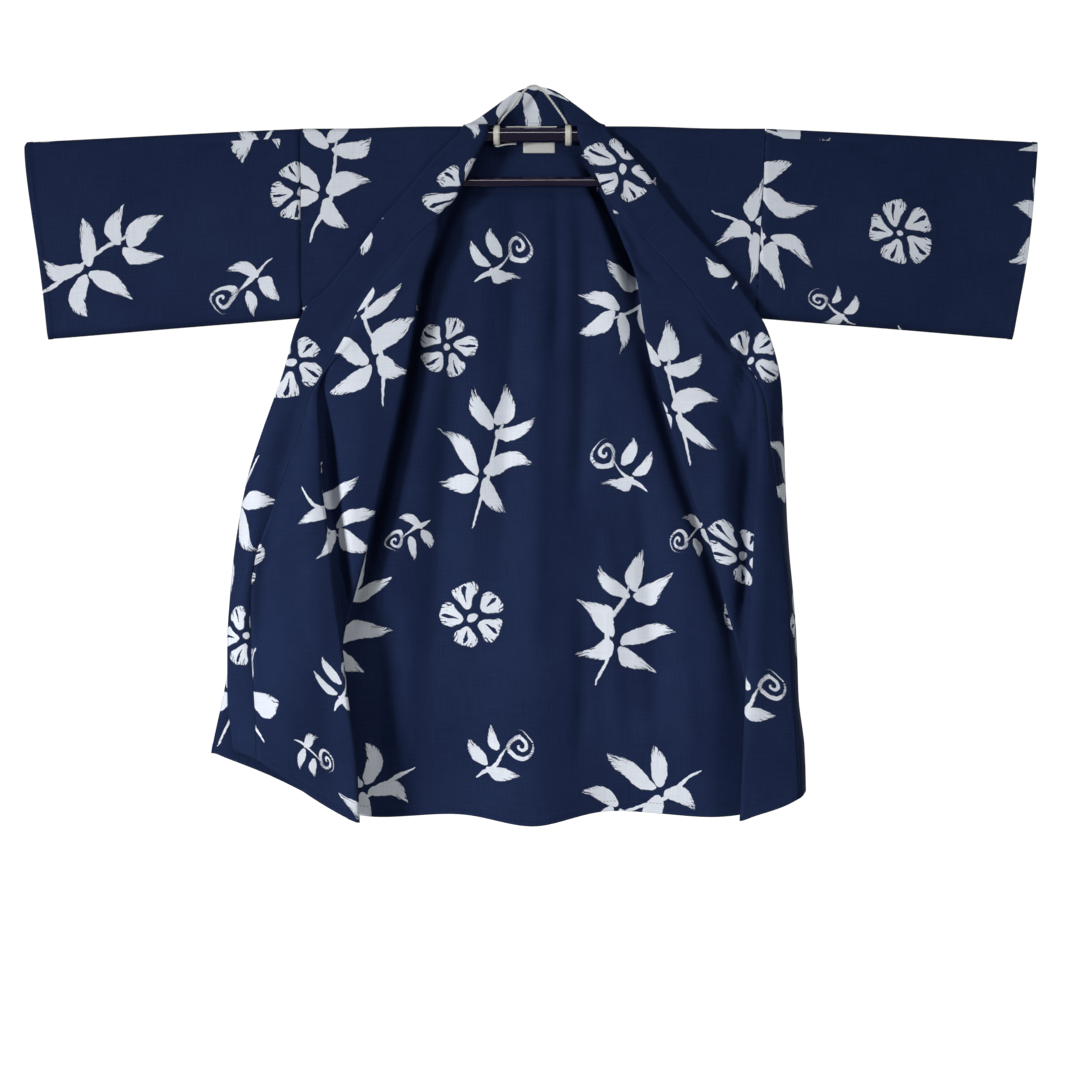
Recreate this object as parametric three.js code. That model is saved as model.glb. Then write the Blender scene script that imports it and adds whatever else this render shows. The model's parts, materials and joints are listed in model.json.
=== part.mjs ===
// A short cotton yukata hung open on a telescopic kimono hanger, in millimetres.
// +X is the viewer's right, the open front faces -Y and +Z is up. The origin is the top of the hanger's cord.
// Every cloth piece is a thin wall round a mid-surface, a grid of points worked out from the tables below.
// In the tables, "down" is the distance below the origin and "out" the distance from the centre plane.
import * as THREE from "three";

// ---------- driving dimensions ----------
const CLOTH = 1.2; // wall of the cloth
const SEAM_GAP = 0.3; // between two pieces at a seam
const LABEL = 1.0; // wall of the neck label
const LABEL_EASE = 0.2; // further room behind it, because the back is hollow there
const EASE = 0.6; // cloth off the hanger it rests on
const EDGE = 0.45; // half the distance between two mid-surfaces that meet at a slant
const SLEEVE_GAP = 1.4; // between the middles of a body wall and a sleeve wall, which meet square

const ROD_DOWN = 66; // axis of the tube and of the arms
const TUBE = { radius: 10, bore: 7.5, half: 150, edge: 0.8 };
const ARM = { radius: 7, inner: 90, outer: 630, bend: 290, drop: 17, droopPower: 1.1 };
const RING = { radius: 13.5, bore: 10.4, half: 4, out: 46, edge: 1.5 };
const BAR = { radius: 6.5, half: 108, down: 126 };
const POST = { radius: 3, out: 98 };
const ROD_EDGE = 0.3; // rounding of a solid rod's ends, as a share of its radius
const CORD_RADIUS = 1.5;
const CORD_SEAT = 0.4; // how deep the cord sits on a ring, as a share of its radius

const BODY_DEPTH = 12; // half depth of the hollow body below the shoulders
const CUFF_DEPTH = 9; // half depth of the sleeve at the cuff
const TUBE_BLEND = { start: 5, length: 45 }; // past the tube's end, where the cloth sinks to the arm's radius
const SHOULDER_BLEND = 60; // how far down the cloth takes to leave the rod's own depth
const SLEEVE_TAPER = { start: 300, length: 340 }; // from the body's depth to the cuff's
const FOLD_RADIUS = 4.5; // where a front turns outward
const HIDDEN_TURN = 24; // how much of a front's turned edge lies behind its fold while the seam is still hidden
const REAR_CLEARANCE = 3; // from that edge to the front's flat rear part
const PLEAT = { start: 345, fade: 90, round: 3.5 }; // where the hanging pleats begin, gain their depth, and their folds
const SOFT_BOW = 2; // how far the cloth between two folds bows forward
const SIDE_ROUND = 20; // width over which the body closes to its side seam
const SIDE_LIFT = 2; // how much higher a front ends than the back at the side seam
const ARMPIT_DOWN = 301;
const UNDERARM_ROUND = 14; // height over which the sleeve closes to its lower edge
const ARMPIT_BLEND = UNDERARM_ROUND + 3; // height over which the body's sides close below the armpit
const CUFF_BOTTOM = 328;
const SLEEVE_MIDDLE = 180; // how far down a sleeve's length is measured
const SWAY = { depth: 1.5, waves: 9 }; // a sleeve's slow swing back and forth along its length
const COLLAR_GAP = 1.3; // between the middles of the front's edge and the collar's, which fold against each other
const COLLAR_WIDTH = 52;
const COLLAR_TURNED = 0.18; // least share of the collar that lies before its outward turn
const COLLAR_RISE = 1.8; // power by which the collar leaves the front's plane towards its free edge
const NECK_OUT = 79; // where the neckline meets the shoulder
const NECK_BLEND = 32; // width over which the neckline leaves the shoulder
const NECK_TOP = 55; // how far down the neckline's seam lies
const NECK_DEPTH = 17; // how far back the neckline sits at its middle
const NECK_EASE = { start: 80, length: 160 }; // height over which the back returns to the body's depth
const HEM_GUESS = 940; // where the search for a row's height starts
const ROW_PASSES = 8; // passes of that search

// ---------- small helpers ----------
const lerp = (a, b, t) => a + (b - a) * t;
const clamp = (x, low, high) => Math.min(high, Math.max(low, x));
const smooth = (x) => {
  const t = clamp(x, 0, 1);
  return t * t * (3 - 2 * t);
};
const radians = (degrees) => (degrees * Math.PI) / 180;

// A smooth curve through points that never swings past them.
function curve(xs, ys) {
  const slope = xs.slice(1).map((x, i) => (ys[i + 1] - ys[i]) / (x - xs[i]));
  const tangent = xs.map((_, i) => {
    const before = slope[i - 1];
    const after = slope[i];
    if (before === undefined || after === undefined) return before ?? after;
    return before * after > 0 ? (2 * before * after) / (before + after) : 0;
  });
  return (x) => {
    const at = clamp(x, xs[0], xs[xs.length - 1]);
    let i = 0;
    while (i < xs.length - 2 && at > xs[i + 1]) i++;
    const wide = xs[i + 1] - xs[i];
    const t = (at - xs[i]) / wide;
    const rise = ys[i + 1] - ys[i];
    const a = tangent[i] * wide - rise;
    const b = rise - tangent[i + 1] * wide;
    return ys[i] + rise * t + t * (1 - t) * (a * (1 - t) + b * t);
  };
}

// A table with named columns as one curve for each column over the first.
function table(names, rows) {
  const over = rows.map((row) => row[0]);
  const columns = names.split(" ").slice(1);
  const made = columns.map((name, i) => [name, curve(over, rows.map((row) => row[i + 1]))]);
  return Object.fromEntries(made);
}

// ---------- the cut and the folds, as tables ----------
// side: side seam. fold: where the front turns outward, the inner edge that shows. past: how far the collar's seam lies
// beyond that fold, below zero while it is still behind it. valley, ridge: the pleat that hangs from the armpit, and
// pleat: how deep it is. edge: the collar's free edge, which is `up` higher and `front` forward of the hanger.
const LEFT = {
  sign: -1,
  folds: table("down side fold past valley ridge pleat edge up front", [
    [54, 298, 50, -29, 75, 77, 0, 79, 1, 10],
    [86, 298, 68, -21, 90, 95, 0, 92, 22, 17],
    [130, 297, 90, -13, 110, 115, 0, 124, 35, 19],
    [158, 297, 104, -6, 125, 130, 0, 146, 38, 19],
    [175, 297, 112, 12, 130, 135, 0, 163, 34, 20],
    [193, 297, 119, 32, 140, 145, 0, 180, 33, 20],
    [224, 297, 132, 41, 155, 160, 0, 209, 28, 20],
    [240, 297, 139, 49, 165, 172, 0, 222, 26, 20],
    [284, 296, 148, 74, 190, 200, 0, 262, 21, 19],
    [306, 296, 151, 81, 200, 210, 0, 290, 18, 19],
    [342, 310, 156, 94, 212, 230, 0, 304, 24, 21],
    [395, 320, 166, 116, 250, 264, 3, 321, 17, 22],
    [459, 333, 180, 121, 279, 273, 9, 346, 9, 20],
    [510, 343, 192, 127, 279, 269, 14, 364, 4, 14],
    [555, 352, 202, 134, 274, 263, 14, 374, 2, 8],
    [601, 361, 212, 140, 268, 257, 14, 382, 1, 0],
    [653, 371, 226, 134, 262, 252, 14, 387, 0, 0],
    [723, 385, 243, 116, 256, 242, 14, 390, 0, 10],
    [790, 398, 237, 118, 249, 235, 14, 390, 4, 16],
    [865, 413, 227, 125, 240, 224, 14, 383, 11, 18],
    [950, 420, 223, 127, 236, 220, 14, 381, 11, 18],
  ]),
  cuff: table("down out", [
    [70, 645], [84, 652], [126, 649], [194, 638], [277, 627], [330, 622],
  ]),
  hem: table("out down", [
    [0, 948], [223, 946], [250, 933], [280, 915], [304, 898], [325, 883], [346, 869], [366, 858], [390, 855],
  ]),
};
const RIGHT = {
  sign: 1,
  folds: table("down side fold past valley ridge pleat edge up front", [
    [54, 300, 53, -26, 73, 75, 0, 86, 1, 10],
    [86, 297, 66, -18, 85, 90, 0, 98, 21, 18],
    [118, 296, 83, -7, 95, 100, 0, 120, 31, 21],
    [150, 295, 93, 0, 110, 115, 0, 147, 31, 23],
    [175, 293, 102, 18, 115, 120, 0, 161, 37, 24],
    [193, 292, 110, 28, 125, 130, 0, 176, 35, 24],
    [224, 290, 124, 43, 150, 155, 0, 204, 33, 24],
    [240, 289, 131, 51, 160, 165, 0, 219, 33, 24],
    [284, 287, 138, 80, 190, 200, 0, 257, 34, 23],
    [306, 287, 141, 92, 205, 215, 0, 274, 31, 22],
    [342, 298, 147, 112, 225, 246, 0, 297, 32, 22],
    [395, 305, 162, 133, 278, 283, 5, 318, 12, 12],
    [459, 311, 182, 121, 293, 288, 10, 323, 5, -6],
    [510, 314, 198, 112, 301, 285, 14, 325, 2, -6],
    [555, 317, 213, 103, 307, 283, 14, 327, 1, -6],
    [601, 320, 231, 89, 312, 281, 14, 330, 0, -6],
    [653, 324, 242, 84, 315, 279, 14, 335, 0, -6],
    [723, 329, 262, 68, 316, 274, 14, 340, 0, -6],
    [790, 333, 275, 58, 314, 271, 14, 342, 2, -6],
    [865, 338, 279, 60, 312, 268, 14, 350, 6, -6],
    [950, 341, 283, 58, 310, 264, 14, 352, 7, -6],
  ]),
  cuff: table("down out", [
    [70, 648], [84, 648], [131, 644], [204, 639], [242, 632], [290, 623], [330, 616],
  ]),
  hem: table("out down", [
    [0, 944], [264, 944], [281, 938], [308, 930], [331, 921], [345, 912], [352, 906],
  ]),
};
const SIDES = { left: LEFT, right: RIGHT };

// The back's hem, over the distance to the viewer's right of the centre.
const BACK_HEM = table("x down", [
  [-420, 860], [-413, 860], [-395, 867], [-346, 884], [-300, 908], [-250, 932], [-220, 947], [-178, 944],
  [-145, 941], [-103, 939], [-75, 941], [-40, 950], [0, 957], [15, 955], [46, 946], [79, 938], [110, 934],
  [138, 937], [189, 941], [228, 944], [264, 944], [281, 938], [308, 930], [331, 921], [349, 906], [360, 900],
]);
// The back's soft hanging folds: how far back the cloth swings at the hem, over the same distance.
const BACK_WAVES = table("x back", [
  [-420, 0], [-360, 0], [-300, 4], [-235, -6], [-170, 6], [-105, 14], [-50, 4], [5, -10], [60, 4],
  [112, 15], [170, 5], [235, -7], [300, 3], [360, 0],
]);
const WAVES = { start: 190, full: 950, power: 1.3 };

// The collar from the middle of the neckline to the shoulder. seam is its place along the neckline, roll the line
// where it turns outward, edge its free edge. back is the distance behind the hanger.
const NECK = {
  left: [
    { seam: 0, roll: [0, 15.5, 27], edge: [0, 14, 0.8] },
    { seam: 20, roll: [18, 12, 22], edge: [20, 11, 7] },
    { seam: 38, roll: [30, 7, 30], edge: [34, 9, 17] },
    { seam: 54, roll: [39, 0, 39], edge: [48, 6, 28] },
    { seam: 68, roll: [46, -5, 48], edge: [66, 0, 42] },
    { seam: 79, roll: [50, -8, 56], edge: [79, -9, 52] },
  ],
  right: [
    { seam: 0, roll: [0, 15.5, 27], edge: [0, 14, 0.8] },
    { seam: 20, roll: [17, 12, 20], edge: [20, 11, 3] },
    { seam: 38, roll: [31, 7, 27], edge: [36, 9, 11] },
    { seam: 54, roll: [41, 1, 38], edge: [52, 6, 24] },
    { seam: 68, roll: [47, -4, 47], edge: [69, 0, 37] },
    { seam: 79, roll: [53, -9, 56], edge: [85, -9, 52] },
  ],
};

// Angles round the rod, from the top of the shoulder to its front or back, and the rows below it.
const WRAP = [0, 30, 60, 90];
const FRONT_ROWS = [
  0.025, 0.05, 0.075, 0.1, 0.125, 0.15, 0.18, 0.215, 0.25, 0.272, 0.31, 0.37, 0.43, 0.49, 0.55, 0.61, 0.67, 0.74, 0.81,
  0.88, 0.94, 1,
];
const BACK_ROWS = [0.05, 0.1, 0.15, 0.2, 0.245, 0.27, 0.34, 0.42, 0.5, 0.58, 0.66, 0.74, 0.82, 0.9, 1];
const SIDE_STEPS = [0, 2.4, 8, 20]; // columns of a panel that rounds to its side seam
const REAR_STEPS = [0.35, 0.7, 1]; // columns of a front's flat rear part
const REAR_COLUMNS = SIDE_STEPS.length + REAR_STEPS.length;

// ---------- form of the cloth ----------
// Half depth of the cloth where it wraps over the hanger: its tube in the middle and its arms further out.
function wrapRadius(out) {
  const taper = smooth((out - TUBE.half - TUBE_BLEND.start) / TUBE_BLEND.length);
  return lerp(TUBE.radius, ARM.radius, taper) + EASE + CLOTH / 2;
}

// The arms droop a little from the shoulders to the cuffs.
function axisDown(out) {
  const along = Math.max(0, (out - ARM.bend) / (ARM.outer - ARM.bend));
  return ROD_DOWN + ARM.drop * along ** ARM.droopPower;
}

// Half depth of the hollow cloth below the rod, where nothing closes it.
function openDepth(out, down) {
  const toCuff = clamp((out - SLEEVE_TAPER.start) / SLEEVE_TAPER.length, 0, 1);
  const wanted = lerp(BODY_DEPTH, CUFF_DEPTH, toCuff);
  return lerp(wrapRadius(out), wanted, smooth((down - axisDown(out)) / SHOULDER_BLEND));
}

// 1 where front and back stand apart, falling to 0 at the side seam, which begins at the armpit.
function openness(side, out, down) {
  const closed = smooth((down - ARMPIT_DOWN + UNDERARM_ROUND) / ARMPIT_BLEND);
  const inward = clamp((side.folds.side(down) - out) / SIDE_ROUND, 0, 1);
  const round = Math.sqrt(1 - (1 - inward) ** 2);
  return lerp(1, round, closed);
}

function sideDepth(side, out, down) {
  const open = openness(side, out, down);
  return EDGE + (openDepth(out, down) - EDGE) * open;
}

// A point of a front or its collar: `over` is the distance past the outward fold, below zero behind it.
function foldPoint(side, over, down) {
  const fold = side.folds.fold(down);
  const quarter = (FOLD_RADIUS * Math.PI) / 2;
  const behind = over <= -quarter;
  const turn = clamp(over / FOLD_RADIUS, -Math.PI / 2, Math.PI / 2);
  const out = fold + FOLD_RADIUS * (1 - Math.cos(turn)) + Math.max(0, Math.abs(over) - quarter);
  const rear = sideDepth(side, out, down);
  const front = behind ? rear : sideDepth(side, fold, down) + FOLD_RADIUS * (1 + Math.sin(turn));
  return { out, front };
}

// The hanging pleat of a front, from the fold to the collar's seam, as the real folded path.
function pleatPoint(side, step, down) {
  const { fold, valley, ridge, past, pleat } = side.folds;
  const [start, end] = [fold(down) + FOLD_RADIUS, fold(down) + past(down)];
  const [deep, proud, depth] = [valley(down), ridge(down), pleat(down)];
  const base = sideDepth(side, fold(down), down) + 2 * FOLD_RADIUS;
  const height = (share) => base + depth * share;
  const path = [
    [fold(down), base - FOLD_RADIUS],
    [start, base],
    [lerp(start, deep, 0.5), base + SOFT_BOW],
    [deep - PLEAT.round, base],
    [deep, height(0.22)],
    [deep - PLEAT.round, height(0.5)],
    [proud + PLEAT.round, height(0.5)],
    [proud, height(0.78)],
    [proud + PLEAT.round, height(1)],
    [lerp(proud, end, 0.4), height(1) + SOFT_BOW],
    [lerp(proud, end, 0.75), height(1) + 0.75 * SOFT_BOW],
    [end, height(1)],
  ];
  return { out: path[step][0], front: path[step][1] };
}

// How far each column of the turned-out part lies along it while no pleat shows.
const FLAT_STEPS = [0, 0.06, 0.3, 0.5, 0.55, 0.6, 0.66, 0.71, 0.76, 0.84, 0.92, 1];
const FRONT_COLUMNS = REAR_COLUMNS + FLAT_STEPS.length;

// A front's point in one column at one height, from the side seam to the collar's seam.
function frontPoint(side, column, down) {
  const { folds } = side;
  const past = folds.past(down);
  const turnStart = Math.min(0, past - HIDDEN_TURN);
  const seamSide = folds.side(down);
  const rearEnd = folds.fold(down) + Math.max(FOLD_RADIUS, -turnStart + REAR_CLEARANCE);
  if (column < SIDE_STEPS.length) {
    const out = seamSide - SIDE_STEPS[column];
    return { out, front: sideDepth(side, out, down) };
  }
  if (column < REAR_COLUMNS) {
    const out = lerp(seamSide - SIDE_ROUND, rearEnd, REAR_STEPS[column - SIDE_STEPS.length]);
    return { out, front: sideDepth(side, out, down) };
  }
  const step = column - REAR_COLUMNS;
  const flat = foldPoint(side, lerp(turnStart, past, FLAT_STEPS[step]), down);
  const folded = smooth((down - PLEAT.start) / PLEAT.fade);
  if (!folded) return flat;
  const pleated = pleatPoint(side, step, down);
  return { out: lerp(flat.out, pleated.out, folded), front: lerp(flat.front, pleated.front, folded) };
}

// The height of a row depends on the hem below it, and the hem on how far out the row is there.
function rowDown(hemOf, outAt, fraction) {
  let down = lerp(ROD_DOWN, HEM_GUESS, fraction);
  for (let i = 0; i < ROW_PASSES; i++) down = lerp(ROD_DOWN, hemOf(outAt(down)), fraction);
  return down;
}

function place(side, point, down) {
  return new THREE.Vector3(side.sign * point.out, -point.front, -down);
}

// Rows of a front from the shoulder to the hem; in each row the columns run from the side seam to the collar's seam.
function frontGrid(side) {
  const rows = WRAP.map((angle) => {
    const turn = radians(angle);
    return Array.from({ length: FRONT_COLUMNS }, (_, column) => {
      const { out } = frontPoint(side, column, ROD_DOWN);
      const round = wrapRadius(out);
      const front = EDGE + (round - EDGE) * Math.sin(turn);
      return place(side, { out, front }, ROD_DOWN - round * Math.cos(turn));
    });
  });
  for (const fraction of FRONT_ROWS)
    rows.push(
      Array.from({ length: FRONT_COLUMNS }, (_, column) => {
        const hemOf = column < REAR_COLUMNS ? (out) => BACK_HEM.down(side.sign * out) - SIDE_LIFT : side.hem.down;
        const down = rowDown(hemOf, (at) => frontPoint(side, column, at).out, fraction);
        return place(side, frontPoint(side, column, down), down);
      }),
    );
  return rows;
}

// The back, between the two side seams. At the neck its top edge stands behind the hanger.
function backDepth(x, down) {
  const side = x < 0 ? LEFT : RIGHT;
  const out = Math.abs(x);
  const hanging = clamp((down - WAVES.start) / (WAVES.full - WAVES.start), 0, 1) ** WAVES.power;
  const returned = smooth((down - NECK_EASE.start) / NECK_EASE.length);
  const neck = (NECK_DEPTH - BODY_DEPTH) * neckShare(out) * (1 - returned);
  const free = openDepth(out, down) + hanging * BACK_WAVES.back(x) + neck;
  return EDGE + (free - EDGE) * openness(side, out, down);
}

// 1 in the middle of the neckline, 0 at the shoulders.
function neckShare(out) {
  return smooth((NECK_OUT - out) / NECK_BLEND);
}

function backTop(x, angle) {
  const turn = radians(angle);
  const round = wrapRadius(Math.abs(x));
  const share = neckShare(Math.abs(x));
  const back = lerp(EDGE + (round - EDGE) * Math.sin(turn), NECK_DEPTH, share);
  const down = lerp(ROD_DOWN - round * Math.cos(turn), NECK_TOP + (angle / 90) * (ROD_DOWN - NECK_TOP), share);
  return new THREE.Vector3(x, back, -down);
}

const BACK_MIDDLE = [-0.86, -0.72, -0.58, -0.44, -0.3, -0.2, -0.1, 0, 0.1, 0.2, 0.3, 0.44, 0.58, 0.72, 0.86];
function backX(column, down) {
  const last = SIDE_STEPS.length - 1;
  const count = 2 * SIDE_STEPS.length + BACK_MIDDLE.length;
  if (column <= last) return -(LEFT.folds.side(down) - SIDE_STEPS[column]);
  if (column >= count - 1 - last) return RIGHT.folds.side(down) - SIDE_STEPS[count - 1 - column];
  const share = BACK_MIDDLE[column - last - 1];
  const side = share < 0 ? LEFT : RIGHT;
  return share * (side.folds.side(down) - SIDE_ROUND);
}

function backGrid() {
  const columns = Array.from({ length: 2 * SIDE_STEPS.length + BACK_MIDDLE.length }, (_, i) => i);
  const rows = WRAP.map((angle) => columns.map((column) => backTop(backX(column, ROD_DOWN), angle)));
  for (const fraction of BACK_ROWS)
    rows.push(
      columns.map((column) => {
        const down = rowDown(BACK_HEM.down, (at) => backX(column, at), fraction);
        const x = backX(column, down);
        return new THREE.Vector3(x, backDepth(x, down), -down);
      }),
    );
  return rows;
}

// The collar's stations beside the neckline, from its middle to the shoulder.
function neckStations(side, rows) {
  return rows.map(({ seam, roll, edge }) => {
    const lift = lerp(CLOTH + 2 * EDGE, CLOTH / 2, neckShare(seam));
    const foot = backTop(side.sign * seam, 0).add(new THREE.Vector3(0, 0, lift));
    const turn = new THREE.Vector3(side.sign * roll[0], roll[1], -roll[2]);
    const free = new THREE.Vector3(side.sign * edge[0], edge[1], -edge[2]);
    const between = (a, b, t) => new THREE.Vector3().lerpVectors(a, b, t);
    return [foot, between(foot, turn, 0.55), turn, between(turn, free, 0.25), between(turn, free, 0.6), free];
  });
}

// The collar's stations down a front: its seam follows the front's last column, row by row.
function frontStations(side, grid) {
  return grid.slice(1).map((row) => {
    const seam = row[row.length - 1];
    const down = -seam.z;
    const { past, edge, up, front, fold } = side.folds;
    const turned = Math.max(COLLAR_TURNED, -past(down) / COLLAR_WIDTH);
    const shares = [0, turned * 0.6, turned, lerp(turned, 1, 0.2), lerp(turned, 1, 0.55), 1];
    const edgeDown = down - up(down);
    const quarter = (FOLD_RADIUS * Math.PI) / 2;
    const overEdge = edge(down) - fold(edgeDown) - FOLD_RADIUS + quarter;
    const overSeam = past(down) > 0 ? side.sign * seam.x - fold(down) - FOLD_RADIUS + quarter : past(down);
    const points = shares.map((share) => {
      const over = lerp(overSeam, overEdge, share);
      const at = down - up(down) * share;
      const turnedOut = foldPoint(side, over, Math.max(at, ROD_DOWN));
      const plain = overSeam > quarter ? -seam.y : turnedOut.front;
      const free = Math.max(0, overSeam);
      const outward = clamp((over - free) / (overEdge - free), 0, 1);
      return place(side, { out: turnedOut.out, front: lerp(plain, front(down), outward ** COLLAR_RISE) }, at);
    });
    const onward = seam.clone().sub(row[row.length - 2]).normalize();
    return [seam.clone().addScaledVector(onward, COLLAR_GAP), ...points.slice(1)];
  });
}

function collarGrid(grids) {
  const half = (name) => [
    ...neckStations(SIDES[name], NECK[name]),
    ...frontStations(SIDES[name], grids[name]),
  ];
  return [...half("left").slice(1).reverse(), ...half("right")];
}

// A sleeve's rings, from its seam at the body to the cuff.
const SLEEVE_STATIONS = [0, 0.15, 0.35, 0.55, 0.78, 1];
const RING_DROPS = [0.12, 0.36, 0.62, 0.84, 1];
const UNDERARM_TURNS = [35, 70, 90, 110, 145];
function sleeveGrid(side) {
  return SLEEVE_STATIONS.map((share) => {
    const seamOut = (down) => side.folds.side(Math.min(down, ARMPIT_DOWN - UNDERARM_ROUND)) + SLEEVE_GAP;
    const outAt = (down) => lerp(seamOut(down), side.cuff.out(down), share);
    const middle = outAt(SLEEVE_MIDDLE);
    const axis = axisDown(middle);
    const round = wrapRadius(middle);
    const straight = lerp(ARMPIT_DOWN, CUFF_BOTTOM, share) - UNDERARM_ROUND;
    const sway = SWAY.depth * Math.sin(share * SWAY.waves);
    const point = (down, back) => new THREE.Vector3(side.sign * outAt(down), back, -down);
    const top = [-90, -60, -30, 0, 30, 60, 90].map((angle) =>
      point(axis - round * Math.cos(radians(angle)), round * Math.sin(radians(angle))),
    );
    const layer = (facing) =>
      RING_DROPS.map((drop) => {
        const down = lerp(axis, straight, drop);
        return point(down, facing * openDepth(middle, down) + sway * drop);
      });
    const depth = openDepth(middle, straight);
    const under = UNDERARM_TURNS.map((angle) =>
      point(straight + UNDERARM_ROUND * Math.sin(radians(angle)), depth * Math.cos(radians(angle)) + sway),
    );
    return [...top, ...layer(1), ...under, ...layer(-1).reverse()];
  });
}

// ---------- walls from grids ----------
// Outward normal at each point of a grid; `ring` joins the last column to the first.
function gridNormals(grid, ring) {
  const last = grid[0].length - 1;
  return grid.map((row, i) =>
    row.map((point, j) => {
      const above = grid[Math.max(0, i - 1)][j];
      const below = grid[Math.min(grid.length - 1, i + 1)][j];
      const before = row[ring ? (j + last) % (last + 1) : Math.max(0, j - 1)];
      const after = row[ring ? (j + 1) % (last + 1) : Math.min(last, j + 1)];
      // Unit steps keep a short side next to a long one from tilting the normal at a fold.
      const across = new THREE.Vector3();
      if (!after.equals(point)) across.add(after.clone().sub(point).normalize());
      if (!before.equals(point)) across.add(point.clone().sub(before).normalize());
      return across.cross(below.clone().sub(above)).normalize();
    }),
  );
}

// A closed wall of the given thickness round a grid's mid-surface.
function wall(grid, thickness, ring = false) {
  const rows = grid.length;
  const columns = grid[0].length;
  const normals = gridNormals(grid, ring);
  const points = [];
  for (const offset of [thickness / 2, -thickness / 2])
    grid.forEach((row, i) => row.forEach((point, j) => points.push(point.clone().addScaledVector(normals[i][j], offset))));
  const index = (layer, i, j) => layer * rows * columns + i * columns + (j % columns);
  const faces = [];
  const quad = (a, b, c, d) => faces.push(a, b, c, a, c, d);
  const spans = ring ? columns : columns - 1;
  for (let i = 0; i < rows - 1; i++)
    for (let j = 0; j < spans; j++) {
      quad(index(0, i, j), index(0, i, j + 1), index(0, i + 1, j + 1), index(0, i + 1, j));
      quad(index(1, i, j), index(1, i + 1, j), index(1, i + 1, j + 1), index(1, i, j + 1));
    }
  for (let j = 0; j < spans; j++) {
    quad(index(0, 0, j), index(1, 0, j), index(1, 0, j + 1), index(0, 0, j + 1));
    quad(index(0, rows - 1, j), index(0, rows - 1, j + 1), index(1, rows - 1, j + 1), index(1, rows - 1, j));
  }
  if (!ring)
    for (let i = 0; i < rows - 1; i++) {
      quad(index(0, i, 0), index(0, i + 1, 0), index(1, i + 1, 0), index(1, i, 0));
      const j = columns - 1;
      quad(index(0, i, j), index(1, i, j), index(1, i + 1, j), index(0, i + 1, j));
    }
  const geometry = new THREE.BufferGeometry().setFromPoints(points);
  geometry.setIndex(facingOut(points, faces));
  return geometry;
}

// The faces, turned round where the body they close would be inside out.
function facingOut(points, faces) {
  let volume = 0;
  for (let i = 0; i < faces.length; i += 3) {
    const [a, b, c] = [points[faces[i]], points[faces[i + 1]], points[faces[i + 2]]];
    volume += a.dot(new THREE.Vector3().crossVectors(b, c));
  }
  return volume > 0 ? faces : faces.slice().reverse();
}

// ---------- the hanger ----------
function lathe(profile, segments) {
  return new THREE.LatheGeometry(profile.map(([r, y]) => new THREE.Vector2(r, y)), segments);
}

function pipeGeometry({ radius, bore, half, edge }) {
  const profile = [
    [bore, -half], [radius - edge, -half], [radius, -half + edge], [radius, half - edge],
    [radius - edge, half], [bore, half], [bore, -half],
  ];
  return lathe(profile, 28);
}

function rodGeometry(radius, half) {
  const edge = radius * ROD_EDGE;
  const profile = [
    [0, -half], [radius - edge, -half], [radius, -half + edge], [radius, half - edge], [radius - edge, half], [0, half],
  ];
  return lathe(profile, 20);
}

// A round section swept along a path.
function swept(points, radius, steps, sides) {
  const section = new THREE.Shape(
    Array.from({ length: sides }, (_, i) => {
      const turn = (i / sides) * 2 * Math.PI;
      return new THREE.Vector2(radius * Math.cos(turn), radius * Math.sin(turn));
    }),
  );
  const path = new THREE.CatmullRomCurve3(points, false, "centripetal");
  return new THREE.ExtrudeGeometry(section, { steps, extrudePath: path, bevelEnabled: false });
}

function armGeometry(side) {
  const stops = [ARM.inner, 200, ARM.bend, 350, 430, 530, ARM.outer];
  const points = stops.map((out) => new THREE.Vector3(side.sign * out, 0, -axisDown(out)));
  return swept(points, ARM.radius, 12, 14);
}

// The cord's loop, from the top of one ring over the origin to the other.
function cordGeometry() {
  const ringTop = ROD_DOWN - RING.radius - CORD_RADIUS * CORD_SEAT;
  const route = [
    [-RING.out + 2, ringTop], [-38, 44], [-28, 32], [-17, 17], [-7, 4], [0, CORD_RADIUS], [8, 3], [16, 11],
    [26, 24], [35, 37], [41, 45], [RING.out - 2, ringTop],
  ];
  const points = route.map(([x, down]) => new THREE.Vector3(x, -1, -down));
  return swept(points, CORD_RADIUS, 30, 8);
}

// ---------- materials and the part ----------
const paint = (color, roughness, metalness = 0) =>
  new THREE.MeshStandardMaterial({ color, roughness, metalness, side: THREE.FrontSide });
const COTTON = 0x1c2748;
const LACQUER = 0x1d1420;
const IVORY = 0xe9e4d8;
const WHITE = 0xf2f2ee;

const group = new THREE.Group();
function add(name, geometry, material) {
  const mesh = new THREE.Mesh(geometry, material);
  mesh.name = name;
  group.add(mesh);
  return mesh;
}

const fronts = { left: frontGrid(LEFT), right: frontGrid(RIGHT) };
add("back", wall(backGrid(), CLOTH), paint(COTTON, 0.9));
for (const [name, side] of Object.entries(SIDES)) {
  add("front_" + name, wall(fronts[name], CLOTH), paint(COTTON, 0.9));
  add("sleeve_" + name, wall(sleeveGrid(side), CLOTH, true), paint(COTTON, 0.9));
}
add("collar_band", wall(collarGrid(fronts), CLOTH), paint(COTTON, 0.9));

// The label lies on the inside of the back, just below the neckline.
const labelOffset = CLOTH / 2 + SEAM_GAP + LABEL / 2 + LABEL_EASE;
const labelGrid = [60, 69, 78, 87].map((down) =>
  [-12, -2, 8, 18, 29].map((x) => new THREE.Vector3(x, backDepth(x, down) - labelOffset, -down)),
);
add("neck_label", wall(labelGrid, LABEL), paint(WHITE, 0.8));

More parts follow.
